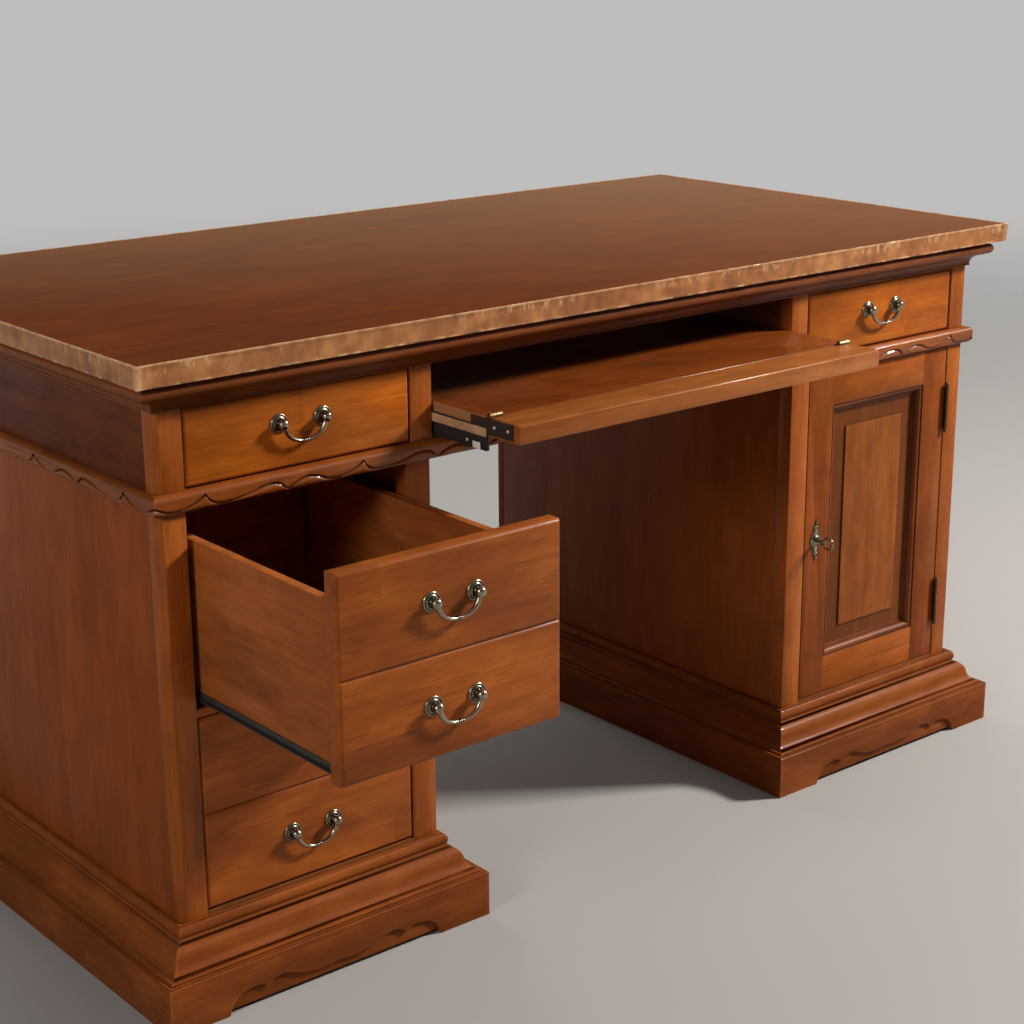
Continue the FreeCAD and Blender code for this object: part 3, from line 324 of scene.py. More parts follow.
def wood_figure():
    """Boards glued side by side, each with its own growth bands, fine streaks and open pores."""
    tree, given, result = new_group(
        "wood figure",
        [("Vector", "Vector"), ("Board Width", "Float"), ("Board Length", "Float")],
        [("Tone", "Float"), ("Pores", "Float"), ("Board", "Float"), ("Cloud", "Float"),
         ("Height", "Float")])
    parts = split(tree, given["Vector"])
    row = maths(tree, "FLOOR", maths(tree, "DIVIDE", parts[1], given["Board Width"]))
    shift = put(tree, "ShaderNodeTexWhiteNoise", {"W": row}, noise_dimensions="1D").outputs[0]
    along = plus(tree, maths(tree, "DIVIDE", parts[0], given["Board Length"]), shift)
    place = put(tree, "ShaderNodeCombineXYZ", {0: row, 1: maths(tree, "FLOOR", along)}).outputs[0]
    board = put(tree, "ShaderNodeTexWhiteNoise", {"Vector": place}, noise_dimensions="2D").outputs
    moved = put(tree, "ShaderNodeVectorMath", {0: given["Vector"], 1: board["Color"]},
                operation="ADD").outputs[0]
    bands = speckle(tree, moved, BAND_WAVES, detail=4, rough=0.6, warp=0.7)
    streaks = speckle(tree, moved, STREAK_WAVES, detail=3, rough=0.65, warp=0.2)
    pores = speckle(tree, moved, PORE_WAVES, detail=1, rough=0.5)
    mottle = speckle(tree, moved, MOTTLE_WAVES, detail=3, rough=0.6, warp=0.5)
    cloud = speckle(tree, given["Vector"], CLOUD_WAVES, detail=3, rough=0.6, warp=0.6)
    tone = plus(tree, times(tree, bands, BAND_SHARE), times(tree, streaks, STREAK_SHARE))
    tone = plus(tree, tone, times(tree, mottle, MOTTLE_SHARE))
    height = maths(tree, "SUBTRACT", times(tree, streaks, RELIEF_SHARE), times(tree, pores, RELIEF_SHARE))
    tree.links.new(spread(tree, tone, *TONE_RANGE), result["Tone"])
    tree.links.new(spread(tree, pores, *PORE_RANGE), result["Pores"])
    tree.links.new(board["Value"], result["Board"])
    tree.links.new(cloud, result["Cloud"])
    tree.links.new(height, result["Height"])
    return tree


def hollows():
    """Masks of corners and quirks, where the woods put old glaze with painted shade and the metals their tarnish,
    and of the edges that stand proud.
    """
    tree, _, result = new_group("hollows", [], [("Hollow", "Float"), ("Edge", "Float")])
    around = put(tree, "ShaderNodeAmbientOcclusion", {"Distance": HOLLOW_REACH}, samples=OCCLUSION_SAMPLES,
                 only_local=True)
    within = put(tree, "ShaderNodeAmbientOcclusion", {"Distance": EDGE_REACH}, samples=OCCLUSION_SAMPLES,
                 only_local=True, inside=True)
    tree.links.new(spread(tree, around.outputs["AO"], *HOLLOW_RANGE), result["Hollow"])
    tree.links.new(spread(tree, within.outputs["AO"], *EDGE_RANGE), result["Edge"])
    return tree


FIGURE = wood_figure()
HOLLOWS = hollows()


# Which way the grain runs

DOOR_LOW, DOOR_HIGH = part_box("door_frame")
PANEL_LOW, PANEL_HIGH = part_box("door_panel")
STICKING = 13 * MM
LIGHT_LOW = PANEL_LOW - Vector((STICKING, 0, STICKING))
LIGHT_HIGH = PANEL_HIGH + Vector((STICKING, 0, STICKING))
LIGHT_MIDDLE = (LIGHT_LOW + LIGHT_HIGH) / 2
LIGHT_SIZE = LIGHT_HIGH - LIGHT_LOW
# The axes that run along the grain, across it and through the board.
GRAIN_ORDER = {"across": (0, 2, 1), "side across": (1, 2, 0), "upright": (2, 0, 1),
               "side upright": (2, 1, 0), "flat": (0, 1, 2)}


def grain_vector(tree, grain):
    """Object coordinates turned so that the wood's length runs along the first axis.

    "round" wood runs along the side that it is on, and "sticking" along each side of the door's light."""
    parts = split(tree, object_spot(tree))

    def ordered(name):
        axes = {place: parts[axis] for place, axis in enumerate(GRAIN_ORDER[name])}
        return put(tree, "ShaderNodeCombineXYZ", axes).outputs[0]

    if grain in GRAIN_ORDER:
        return ordered(grain)
    if grain == "sticking":
        above = maths(tree, "ABSOLUTE", maths(tree, "SUBTRACT", parts[2], LIGHT_MIDDLE.z))
        past_square = maths(tree, "SUBTRACT", above, (LIGHT_SIZE.z - LIGHT_SIZE.x) / 2)
        beside = maths(tree, "ABSOLUTE", maths(tree, "SUBTRACT", parts[0], LIGHT_MIDDLE.x))
        on_rail = maths(tree, "GREATER_THAN", past_square, beside)
        return either(tree, on_rail, ordered("upright"), ordered("across"))
    facing = split(tree, face_normal(tree))
    sideways = maths(tree, "GREATER_THAN", maths(tree, "ABSOLUTE", facing[0]),
                     maths(tree, "ABSOLUTE", facing[1]))
    return either(tree, sideways, ordered("across"), ordered("side across"))


# Wood

CLOUD_RANGE = 0.3, 0.7
# The glaze tint darkens hollows with old glaze and painted shade; the sunk tint paints shade on a sunk bevel.
PORE_TINT, GLAZE_AND_SHADE_TINT, SUNK_SHADE_TINT = 0.45, 0.16, 0.42
# This tint and lift lighten worn edges and also paint highlights along the arrises.
WORN_AND_HIGHLIGHT_TINT, WORN_AND_HIGHLIGHT_LIFT = 1.5, 0.02
# How strongly painted shade darkens a sunk bevel.
SUNK_SHADE = 0.62
END_FACING = 0.75, 0.85
BARE_END, BARE_PORE = 0.95, 0.5
GLOSS_SWING, HOLLOW_DULLNESS = 0.06, 0.25


def wood(name, grain, stain, board, boards, gloss=0.40, coat=0.06, coat_rough=0.12, glaze_and_shade=0.6, wear_and_highlight=0.15,
         relief=0.1 * MM, sheen=0.12, pores=0.30, clouds=0.18, glint=0.45, ends=None, sunk=None):
    """Stained wood: dark to light along its figure, old glaze with painted shade in its hollows, wear with painted
    highlights on its edges.

    stain is dark, middle and light. board is one board's width and length, and boards how far their tones differ.
    ends is the colour of bare ends that face sideways, and sunk the two depths between which painted shade darkens
    a sunk bevel."""
    material, tree, shader = new_material(name)
    dark, _, light = stain
    width, length = board
    figure = put(tree, "ShaderNodeGroup", {"Vector": grain_vector(tree, grain), "Board Width": width,
                                           "Board Length": length}, node_tree=FIGURE).outputs
    hollow_masks = put(tree, "ShaderNodeGroup", node_tree=HOLLOWS).outputs
    shade = times(tree, spread(tree, figure["Board"], 0, 1, 1 - boards, 1 + boards),
                  spread(tree, figure["Cloud"], *CLOUD_RANGE, 1 - clouds, 1 + clouds))
    grey = put(tree, "ShaderNodeCombineColor", {0: shade, 1: shade, 2: shade}).outputs[0]
    colour = blend(tree, 1.0, ramp_between(tree, figure["Tone"], *stain), grey, "MULTIPLY")
    colour = blend(tree, times(tree, figure["Pores"], pores), colour, tinted(dark, PORE_TINT))
    # Old glaze and painted shade darken the hollows.
    colour = blend(tree, times(tree, hollow_masks["Hollow"], glaze_and_shade), colour, tinted(dark, GLAZE_AND_SHADE_TINT))
    # Worn edges lightened, which also paints highlights on the arrises.
    colour = blend(tree, times(tree, hollow_masks["Edge"], wear_and_highlight), colour, tinted(light, WORN_AND_HIGHLIGHT_TINT, WORN_AND_HIGHLIGHT_LIFT))
    # Painted shade on the sunk bevel between the sticking and the raised field.
    if sunk:
        depth = spread(tree, split(tree, object_spot(tree))[1], *sunk)
        colour = blend(tree, times(tree, depth, SUNK_SHADE), colour, tinted(dark, SUNK_SHADE_TINT))
    if ends:
        sideways = maths(tree, "ABSOLUTE", split(tree, face_normal(tree))[0])
        bare = times(tree, spread(tree, sideways, *END_FACING),
                     spread(tree, figure["Pores"], 0, 1, BARE_END, BARE_PORE))
        colour = blend(tree, bare, colour, rgba(ends))
    rough = plus(tree, spread(tree, figure["Tone"], 0, 1, gloss + GLOSS_SWING, gloss - GLOSS_SWING),
                 times(tree, hollow_masks["Hollow"], HOLLOW_DULLNESS))
    varnish = spread(tree, hollow_masks["Edge"], 0, 1, coat, min(1.0, coat + glint))
    tree.links.new(colour, shader.inputs["Base Color"])
    tree.links.new(rough, shader.inputs["Roughness"])
    tree.links.new(varnish, shader.inputs["Coat Weight"])
    shader.inputs["Specular IOR Level"].default_value = sheen
    shader.inputs["Coat Roughness"].default_value = coat_rough
    bumped(tree, shader, figure["Height"], 1.0, relief)
    return material


# Each stain is the dark, the middle and the light colour of its wood's figure.
FRIEZE_STAIN = (0.250, 0.058, 0.0050), (0.330, 0.082, 0.0068), (0.425, 0.118, 0.0105)
# The frieze sides' stain is darkened to paint in the shade that the top's overhang casts on them.
FRIEZE_SIDE_STAIN_WITH_SHADE = (0.068, 0.0150, 0.0030), (0.094, 0.0210, 0.0042), (0.122, 0.0285, 0.0060)
FRONT_STAIN = (0.210, 0.050, 0.0075), (0.278, 0.069, 0.0098), (0.357, 0.097, 0.0140)
SIDE_STAIN = (0.188, 0.043, 0.0065), (0.230, 0.053, 0.0080), (0.274, 0.067, 0.0104)
MOULDING_STAIN = (0.150, 0.037, 0.0065), (0.215, 0.054, 0.0090), (0.290, 0.077, 0.0135)
CORNICE_STAIN = (0.130, 0.033, 0.0065), (0.185, 0.047, 0.0085), (0.245, 0.065, 0.0120)
PLINTH_STAIN = (0.135, 0.034, 0.0060), (0.185, 0.047, 0.0080), (0.245, 0.066, 0.0120)
TOP_STAIN = (0.116, 0.0232, 0.0036), (0.136, 0.0285, 0.0047), (0.160, 0.0362, 0.0064)
TRAY_STAIN = (0.115, 0.026, 0.0040), (0.162, 0.037, 0.0058), (0.215, 0.053, 0.0090)
TRAY_BARE_END = (0.34, 0.165, 0.068)
FLAP_STAIN = (0.215, 0.060, 0.012), (0.290, 0.085, 0.017), (0.370, 0.117, 0.026)
BOX_STAIN = (0.22, 0.060, 0.0125), (0.295, 0.081, 0.0170), (0.365, 0.107, 0.0240)
STILE_STAIN = (0.150, 0.036, 0.0065), (0.205, 0.049, 0.0085), (0.265, 0.068, 0.0125)
RAIL_STAIN = (0.20, 0.047, 0.0060), (0.265, 0.064, 0.0080), (0.335, 0.088, 0.0115)
PANEL_STAIN = (0.165, 0.043, 0.0080), (0.220, 0.060, 0.0110), (0.285, 0.082, 0.0155)
# The sticking's stain is darkened to paint in the shade of its recess round the panel.
STICKING_STAIN_WITH_SHADE = (0.095, 0.022, 0.0045), (0.140, 0.033, 0.0062), (0.190, 0.047, 0.0090)
INSIDE_STAIN = (0.13, 0.040, 0.010), (0.18, 0.056, 0.015), (0.24, 0.078, 0.022)
BARE_STAIN = (0.34, 0.19, 0.095), (0.43, 0.26, 0.14), (0.52, 0.33, 0.19)
# Depths between which painted shade darkens the door panel's sunk bevel.
FIELD_SHADE_DEPTHS = DOOR_LOW.y + 7.4 * MM, DOOR_LOW.y + 8.8 * MM

frieze_front_wood = wood("frieze drawer wood", "across", FRIEZE_STAIN, board=(0.05, 0.6), boards=0.08,
                         wear_and_highlight=0.5, pores=0.45, clouds=0.22, sheen=0.08)
front_wood = wood("drawer front wood", "across", FRONT_STAIN, board=(0.05, 0.42), boards=0.13,
                  wear_and_highlight=0.5, pores=0.45, clouds=0.25)
frame_wood = wood("upright wood", "upright", FRONT_STAIN, board=(0.06, 1.2), boards=0.05, clouds=0.13)
side_wood = wood("pedestal side wood", "side upright", SIDE_STAIN, board=(0.13, 2.0), boards=0.06,
                 clouds=0.10)
# Its darker stain paints in the overhang's shade.
frieze_side_wood = wood("frieze side wood", "round", FRIEZE_SIDE_STAIN_WITH_SHADE, board=(0.13, 2.0), boards=0.05)
moulding_wood = wood("moulding wood", "round", MOULDING_STAIN, board=(0.30, 1.4), boards=0.04,
                     coat=0.30, glaze_and_shade=0.9, wear_and_highlight=0.3)
cornice_wood = wood("cornice wood", "round", CORNICE_STAIN, board=(0.30, 1.4), boards=0.04,
                    glaze_and_shade=0.95, wear_and_highlight=0.2)
plinth_wood = wood("plinth wood", "round", PLINTH_STAIN, board=(0.30, 1.4), boards=0.04,
                   gloss=0.5, coat=0.02, glaze_and_shade=0.7, wear_and_highlight=0.2, sheen=0.06, glint=0.10)
top_wood = wood("polished top wood", "flat", TOP_STAIN, board=(0.14, 1.9), boards=0.04,
                gloss=0.34, coat=0.8, coat_rough=0.03, glaze_and_shade=0.0, wear_and_highlight=0.0, relief=0.004 * MM,
                sheen=0.0, pores=0.10, clouds=0.13)
tray_wood = wood("tray wood", "flat", TRAY_STAIN, board=(0.12, 1.9), boards=0.06,
                 gloss=0.32, coat=0.15, coat_rough=0.08, glaze_and_shade=0.3, ends=TRAY_BARE_END)
flap_wood = wood("flap wood", "flat", FLAP_STAIN, board=(0.08, 1.9), boards=0.06,
                 gloss=0.38, coat=0.10, coat_rough=0.10, glaze_and_shade=0.3, wear_and_highlight=0.3)
box_wood = wood("drawer box wood", "round", BOX_STAIN, board=(0.058, 0.9), boards=0.09,
                gloss=0.45, coat=0.03)
stile_wood = wood("door stile wood", "upright", STILE_STAIN, board=(0.07, 1.2), boards=0.05,
                  glaze_and_shade=0.8, sheen=0.06)
rail_wood = wood("door rail wood", "across", RAIL_STAIN, board=(0.07, 1.2), boards=0.05,
                 glaze_and_shade=0.8, sheen=0.06)
panel_wood = wood("door panel wood", "upright", PANEL_STAIN, board=(0.10, 1.2), boards=0.05,
                  glaze_and_shade=0.9, sheen=0.06, sunk=FIELD_SHADE_DEPTHS)
# Darker stain paints in the recess's shade.
sticking_wood = wood("door sticking wood", "sticking", STICKING_STAIN_WITH_SHADE, board=(0.30, 1.2), boards=0.03,
                     gloss=0.44, coat=0.02, glaze_and_shade=0.95, wear_and_highlight=0.2)
inside_wood = wood("inside wood", "flat", INSIDE_STAIN, board=(0.12, 1.2), boards=0.08,
                   gloss=0.6, coat=0.0, glaze_and_shade=0.3, wear_and_highlight=0.0)
bare_wood = wood("bare batten wood", "flat", BARE_STAIN, board=(0.12, 1.2), boards=0.04,
                 gloss=0.6, coat=0.0, glaze_and_shade=0.3, wear_and_highlight=0.0)


# Metal

TARNISH_WAVES = (160, 160, 160)
TARNISH_RANGE, TARNISH_SPOTS = (0.45, 0.75), 0.5
ROUGH_RANGE, ROUGH_SWING, DIRT_DULLNESS = (0.3, 0.7), 0.05, 0.3
SCRATCH_WAVES = (900, 900, 900)
SCRATCH_STRENGTH, SCRATCH_DEPTH = 0.15, 0.3 * MM


def metal(name, deep, bright, rough, tarnish, full_metal=1.0):
    """Metal with tarnish in its hollows, rubbed bright where hands reach it."""
    material, tree, shader = new_material(name)
    spot = object_spot(tree)
    hollow_masks = put(tree, "ShaderNodeGroup", node_tree=HOLLOWS).outputs
    cloud = speckle(tree, spot, TARNISH_WAVES, detail=4, rough=0.6)
    dirt = plus(tree, times(tree, hollow_masks["Hollow"], tarnish),
                spread(tree, cloud, *TARNISH_RANGE, 0.0, TARNISH_SPOTS))
    dirt = put(tree, "ShaderNodeClamp", {"Value": dirt}).outputs[0]
    dullness = plus(tree, times(tree, dirt, DIRT_DULLNESS),
                    spread(tree, cloud, *ROUGH_RANGE, rough - ROUGH_SWING, rough + ROUGH_SWING))
    tree.links.new(blend(tree, dirt, rgba(bright), rgba(deep)), shader.inputs["Base Color"])
    tree.links.new(dullness, shader.inputs["Roughness"])
    shader.inputs["Metallic"].default_value = full_metal
    bumped(tree, shader, speckle(tree, spot, SCRATCH_WAVES), SCRATCH_STRENGTH, SCRATCH_DEPTH)
    return material


antique = metal("antique handle metal", (0.016, 0.011, 0.007), (0.36, 0.31, 0.225), rough=0.22,
                tarnish=1.5)
dark_iron = metal("dark hinge metal", (0.020, 0.011, 0.006), (0.150, 0.078, 0.038), rough=0.36,
                  tarnish=1.0)
brass = metal("hinge brass", (0.07, 0.038, 0.013), (0.27, 0.18, 0.085), rough=0.38, tarnish=1.5)
black_steel = metal("black slide steel", (0.010, 0.008, 0.008), (0.026, 0.022, 0.021), rough=0.42,
                    tarnish=0.5, full_metal=0.0)
zinc = metal("zinc steel", (0.16, 0.15, 0.15), (0.66, 0.64, 0.62), rough=0.36, tarnish=0.8,
             full_metal=0.5)
nylon = metal("pale nylon", (0.40, 0.39, 0.37), (0.74, 0.73, 0.70), rough=0.45, tarnish=0.6,
              full_metal=0.0)


# Wrinkled edging of the top

BAND_LOW, BAND_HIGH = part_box("top_edge_band")
BAND_MIDDLE, BAND_HALF = (BAND_LOW + BAND_HIGH) / 2, (BAND_HIGH - BAND_LOW) / 2
EDGING_STAIN = (0.200, 0.068, 0.0175), (0.318, 0.121, 0.0355), (0.450, 0.200, 0.0720)
# Colour of glaze and painted shade in the edging's hollows.
EDGING_GLAZE_AND_SHADE = 0.09, 0.030, 0.010
# Pale colour for wear and painted highlights on the folds, lip, foot and corners.
EDGING_WEAR_AND_HIGHLIGHT = 0.60, 0.36, 0.19
EDGING_GRIME = 0.045, 0.020, 0.008
# Waves to the metre along each axis.
EDGING_STREAKS = (60, 60, 25)
EDGING_MOTTLE = (22, 22, 30)
FLECK_STRETCHES = (7, 7, 1)
FLECK_DROPS = (110, 110, 45)
FOOT_SPOTS = (70, 70, 20)
GRIME_SPOTS = (34, 34, 60)
EDGING_STREAK_SHARE, EDGING_MOTTLE_SHARE = 0.4, 0.6
EDGING_TONES = 0.36, 0.64
STRETCH_RANGE = 0.45, 0.60
DROP_RANGE = 0.54, 0.62
GRIME_RANGE = 0.46, 0.62
# Ranges with what they are spread over.
# The lip, foot and corner ranges set where wear and painted highlights lighten the edging.
LIP_WEAR_AND_HIGHLIGHT = 0.35, 0.55, 0.25, 0.8
FOOT_WEAR_AND_HIGHLIGHT = 0.48, 0.60, 0.0, 0.7
CORNER_WEAR_AND_HIGHLIGHT = 0.35, 0.6, 0.2, 0.7
EDGING_ROUGH = 0.3, 0.7, 0.5, 0.34
# Depths below the upper edge, heights above the lower one and distances from the corners, in millimetres.
FLECK_DEPTHS, LIP_DEPTHS, LIP_GRIME_DEPTHS = (14, 5), (2.2, 1.0), (0.6, -0.4)
FOOT_HEIGHTS, FOOT_GRIME_HEIGHTS = (3.0, 1.0), (2.6, 0.4)
CORNER_DISTANCES = 8, 3
GLAZE_AND_SHADE_SHARE, FLECK_SHARE, GRIME_SHARE, LIP_GRIME_SHARE = 0.8, 0.75, 0.85, 0.45
EDGING_SHEEN, EDGING_COAT = 0.3, 0.1
FLECK_RELIEF, EDGING_RELIEF, EDGING_RELIEF_DEPTH = 0.5, 0.6, 0.7 * MM


def edging_finish():
    """Tan edging: pale with wear and painted highlights along its folds, browner where glaze and painted shade lie
    between them.
    """
    material, tree, shader = new_material("wrinkled edging")
    spot = object_spot(tree)
    parts = split(tree, spot)
    hollow_masks = put(tree, "ShaderNodeGroup", node_tree=HOLLOWS).outputs

    def under_lip(start, end, most=1.0):
        """Sets in between two depths below the upper edge, in millimetres."""
        return spread(tree, parts[2], BAND_HIGH.z - start * MM, BAND_HIGH.z - end * MM, 0.0, most)

    def over_foot(start, end):
        """Sets in between two heights above the lower edge, in millimetres."""
        return spread(tree, parts[2], BAND_LOW.z + start * MM, BAND_LOW.z + end * MM)

    def near_end(axis, start, end):
        """Sets in between two distances from the band's ends along an axis, in millimetres."""
        away = maths(tree, "ABSOLUTE", maths(tree, "SUBTRACT", parts[axis], BAND_MIDDLE[axis]))
        return spread(tree, away, BAND_HALF[axis] - start * MM, BAND_HALF[axis] - end * MM)

    streak = speckle(tree, spot, EDGING_STREAKS, detail=3, rough=0.6)
    mottle = speckle(tree, spot, EDGING_MOTTLE, detail=3, rough=0.6)
    tone = plus(tree, times(tree, streak, EDGING_STREAK_SHARE), times(tree, mottle, EDGING_MOTTLE_SHARE))
    colour = ramp_between(tree, spread(tree, tone, *EDGING_TONES), *EDGING_STAIN)
    # Glaze and painted shade in the hollows between the folds.
    colour = blend(tree, times(tree, hollow_masks["Hollow"], GLAZE_AND_SHADE_SHARE), colour, rgba(EDGING_GLAZE_AND_SHADE))

    # Pale flecks under the lip and a pale lip, foot and corners: wear together with painted highlights.
    stretch = spread(tree, speckle(tree, spot, FLECK_STRETCHES, detail=1), *STRETCH_RANGE)
    drops = spread(tree, speckle(tree, spot, FLECK_DROPS, rough=0.5), *DROP_RANGE)
    flecks = times(tree, times(tree, drops, under_lip(*FLECK_DEPTHS)), stretch)
    lip = times(tree, under_lip(*LIP_DEPTHS), spread(tree, streak, *LIP_WEAR_AND_HIGHLIGHT))
    foot_wear_and_highlight = spread(tree, speckle(tree, spot, FOOT_SPOTS), *FOOT_WEAR_AND_HIGHLIGHT)
    foot = times(tree, over_foot(*FOOT_HEIGHTS), foot_wear_and_highlight)
    corner = times(tree, near_end(0, *CORNER_DISTANCES), near_end(1, *CORNER_DISTANCES))
    corner = times(tree, corner, spread(tree, streak, *CORNER_WEAR_AND_HIGHLIGHT))
    pale = maths(tree, "MAXIMUM", times(tree, flecks, FLECK_SHARE), lip)
    pale = maths(tree, "MAXIMUM", pale, maths(tree, "MAXIMUM", foot, corner))
    colour = blend(tree, pale, colour, rgba(EDGING_WEAR_AND_HIGHLIGHT))

    grime_line = maths(tree, "MAXIMUM", over_foot(*FOOT_GRIME_HEIGHTS),
                       under_lip(*LIP_GRIME_DEPTHS, LIP_GRIME_SHARE))
    grime_spots = spread(tree, speckle(tree, spot, GRIME_SPOTS, detail=4, rough=0.65), *GRIME_RANGE)
    grime = times(tree, times(tree, grime_line, grime_spots), GRIME_SHARE)
    colour = blend(tree, grime, colour, rgba(EDGING_GRIME))

    tree.links.new(colour, shader.inputs["Base Color"])
    tree.links.new(spread(tree, tone, *EDGING_ROUGH), shader.inputs["Roughness"])
    shader.inputs["Specular IOR Level"].default_value = EDGING_SHEEN
    shader.inputs["Coat Weight"].default_value = EDGING_COAT
    height = plus(tree, tone, times(tree, flecks, FLECK_RELIEF))
    bumped(tree, shader, height, EDGING_RELIEF, EDGING_RELIEF_DEPTH)
    return material


edging = edging_finish()


# Boards with eased arrises

MERGE_DISTANCE = 0.01 * MM
FLAT_ENOUGH = math.radians(0.5)
POST_EASE, PANEL_EASE, TRAY_EASE, FRONT_EASE = 0.9 * MM, 0.7 * MM, 0.8 * MM, 1.4 * MM
EASED_BOARDS = [
    (("corner_posts", "inner_posts", "pedestal_stiles"), POST_EASE, frame_wood),
    (("pedestal_outer_sides", "pedestal_inner_sides"), PANEL_EASE, side_wood),
    (("frieze_sides",), PANEL_EASE, frieze_side_wood),
    (("frieze_back", "pedestal_backs"), PANEL_EASE, frame_wood),
    (("left_plinth", "right_plinth"), PANEL_EASE, plinth_wood),
    (("left_drawer_front", "right_drawer_front"), FRONT_EASE, frieze_front_wood),
    (("lower_file_front", "upper_file_front", "drawer_rail"), FRONT_EASE, front_wood),
    (("left_drawer_box", "right_drawer_box", "lower_file_box", "upper_file_box"), PANEL_EASE, box_wood),
    (("tray_board",), TRAY_EASE, tray_wood),
    (("tray_flap",), TRAY_EASE, flap_wood),
]
CARRIED_OVER = [
    (("desk_top",), top_wood),
    (("frieze_partitions", "dust_boards", "pedestal_floors", "rail_battens"), inside_wood),
    (("left_drawer_bottom", "right_drawer_bottom", "lower_file_bottom", "upper_file_bottom"), box_wood),
    (("file_drawer_rails", "tray_rails", "tray_slides", "lock_case", "tray_end_brackets"), black_steel),
    (("door_key", "lock_bolt"), antique),
    (("flap_hinges", "flap_knuckles"), brass),
]


def eased(node, width, finish):
    """The node's own board with its arrises rubbed down, so that they catch the light."""
    piece = bpy.data.objects.new(node + "_eased", frame["nodes"][node].data.copy())
    bpy.context.collection.objects.link(piece)
    edit(piece, "VERT")
    bpy.ops.mesh.remove_doubles(threshold=MERGE_DISTANCE)
    bpy.ops.mesh.dissolve_limited(angle_limit=FLAT_ENOUGH)
    close_edit()
    rubbed(piece, width, miter_outer="MITER_ARC")
    settle(piece, node + "_eased", body_of(node), finish, (node,))


for nodes, width, finish in EASED_BOARDS:
    for node in nodes:
        eased(node, width, finish)
for nodes, finish in CARRIED_OVER:
    for node in nodes:
        for place in frame["nodes"][node].material_slots:
            place.material = finish


# Mouldings that run round the desk

RING_MERGE = 0.02 * MM
PLAIN_STEP, WAIST_STEP, BAND_STEP = 40 * MM, 2.0 * MM, 2.5 * MM


def ringed(low, high, inset, rows, section, step):
    """Four lengths mitred at the corners of a rectangle that is inset from the box between low and high.

    section(side, run, length, row) gives a row's reach and height at a run along a side."""
    low_x, high_x = low.x + inset, high.x - inset
    low_y, high_y = low.y + inset, high.y - inset
    width, depth = high_x - low_x, high_y - low_y
    lengths = []
    for side, length in enumerate((width, depth, width, depth)):
        deselect()
        bpy.ops.mesh.primitive_grid_add(x_subdivisions=int(length / step), y_subdivisions=rows - 1,
                                        size=2)
        piece = bpy.context.object
        for point in piece.data.vertices:
            share = (point.co.x + 1) / 2
            row = round((point.co.y + 1) / 2 * (rows - 1))
            reach, height = section(side, share * length, length, row)
            run = -reach + share * (length + 2 * reach)
            on_sides = ((low_x + run, low_y - reach), (high_x + reach, low_y + run),
                        (high_x - run, high_y + reach), (low_x - reach, high_y - run))
            point.co = (*on_sides[side], height)
        lengths.append(piece)
    ring = joined(lengths)
    edit(ring, "VERT")
    bpy.ops.mesh.remove_doubles(threshold=RING_MERGE)
    close_outwards()
    return ring


# Cornice: a cove, a quirk and a bead under the slab, as reach and rise in millimetres.
CORNICE_LOW, CORNICE_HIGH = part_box("cornice")
CORNICE_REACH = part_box("corner_posts")[0].y - CORNICE_LOW.y
CORNICE_BACK, CORNICE_RISE = -20, 34
BEAD, BEAD_REACH, BEAD_RISE = 7.6, 17.6, 24.2
BEAD_TURN, BEAD_STEP = 112, 16
COVE, COVE_REACH, COVE_RISE = 13.0, 14.2, 2.2
COVE_STEPS = 8
CORNICE = [(CORNICE_BACK, 0), (1.9, 0), (2.1, 1.1), (1.2, 1.9)]
for step in range(COVE_STEPS + 1):
    turn = QUARTER_TURN * step / COVE_STEPS
    CORNICE.append((COVE_REACH - COVE * math.cos(turn), COVE_RISE + COVE * math.sin(turn)))
CORNICE += [(14.9, 15.5), (14.4, 16.3)]
for degrees in range(-BEAD_TURN, BEAD_TURN + 1, BEAD_STEP):
    turn = math.radians(degrees)
    CORNICE.append((BEAD_REACH + BEAD * math.cos(turn), BEAD_RISE + BEAD * math.sin(turn)))
CORNICE += [(12.6, 32.2), (12.0, CORNICE_RISE), (CORNICE_BACK, CORNICE_RISE)]


def cornice_section(side, run, length, row):
    """The same section all along the cornice."""
    reach, rise = CORNICE[row % len(CORNICE)]
    return reach * MM, CORNICE_LOW.z + rise * MM


beaded = ringed(CORNICE_LOW, CORNICE_HIGH, CORNICE_REACH, len(CORNICE) + 1, cornice_section, PLAIN_STEP)
settle(beaded, "beaded_cornice", "carcass", cornice_wood, ("cornice",), angle=40)

# Waist: the carved line over one length of scroll, as run and height in millimetres.
WAIST_LOW, WAIST_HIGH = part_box("waist_moulding")
WAIST_TALL = WAIST_HIGH.z - WAIST_LOW.z
WAIST_REACH, WAIST_DEPTH, WAIST_ROUND = 9 * MM, 24 * MM, 7 * MM
FIRST_SCROLL_X = -605 * MM
SCROLL_START = FIRST_SCROLL_X - (WAIST_LOW.x + WAIST_REACH)
SCROLL = [(0, 17), (5, 9), (12, 5), (20, 3.6), (38, 4.5), (55, 7.5), (70, 11.5), (85, 13), (94, 11),
          (101, 5), (103, 3), (108, 6), (118, 10.5), (130, 13), (142, 11), (155, 5.4), (166, 3.6),
          (178, 5), (190, 9), (198, 13), (204, 17)]
SCROLL_LENGTH = SCROLL[-1][0] * MM
# The gouge's cut, as offset from the carved line and depth in millimetres.
GOUGE = [(-3.6, 0.0), (-2.3, 0.7), (-1.0, 1.9), (0.0, 2.4), (0.6, 1.5), (1.1, 0.3), (1.6, 0.0)]
WAIST_STEPS = 7
WAIST_ROWS = 2 * WAIST_STEPS + len(GOUGE) + 3
CARVE_MARGIN = 0.5 * MM


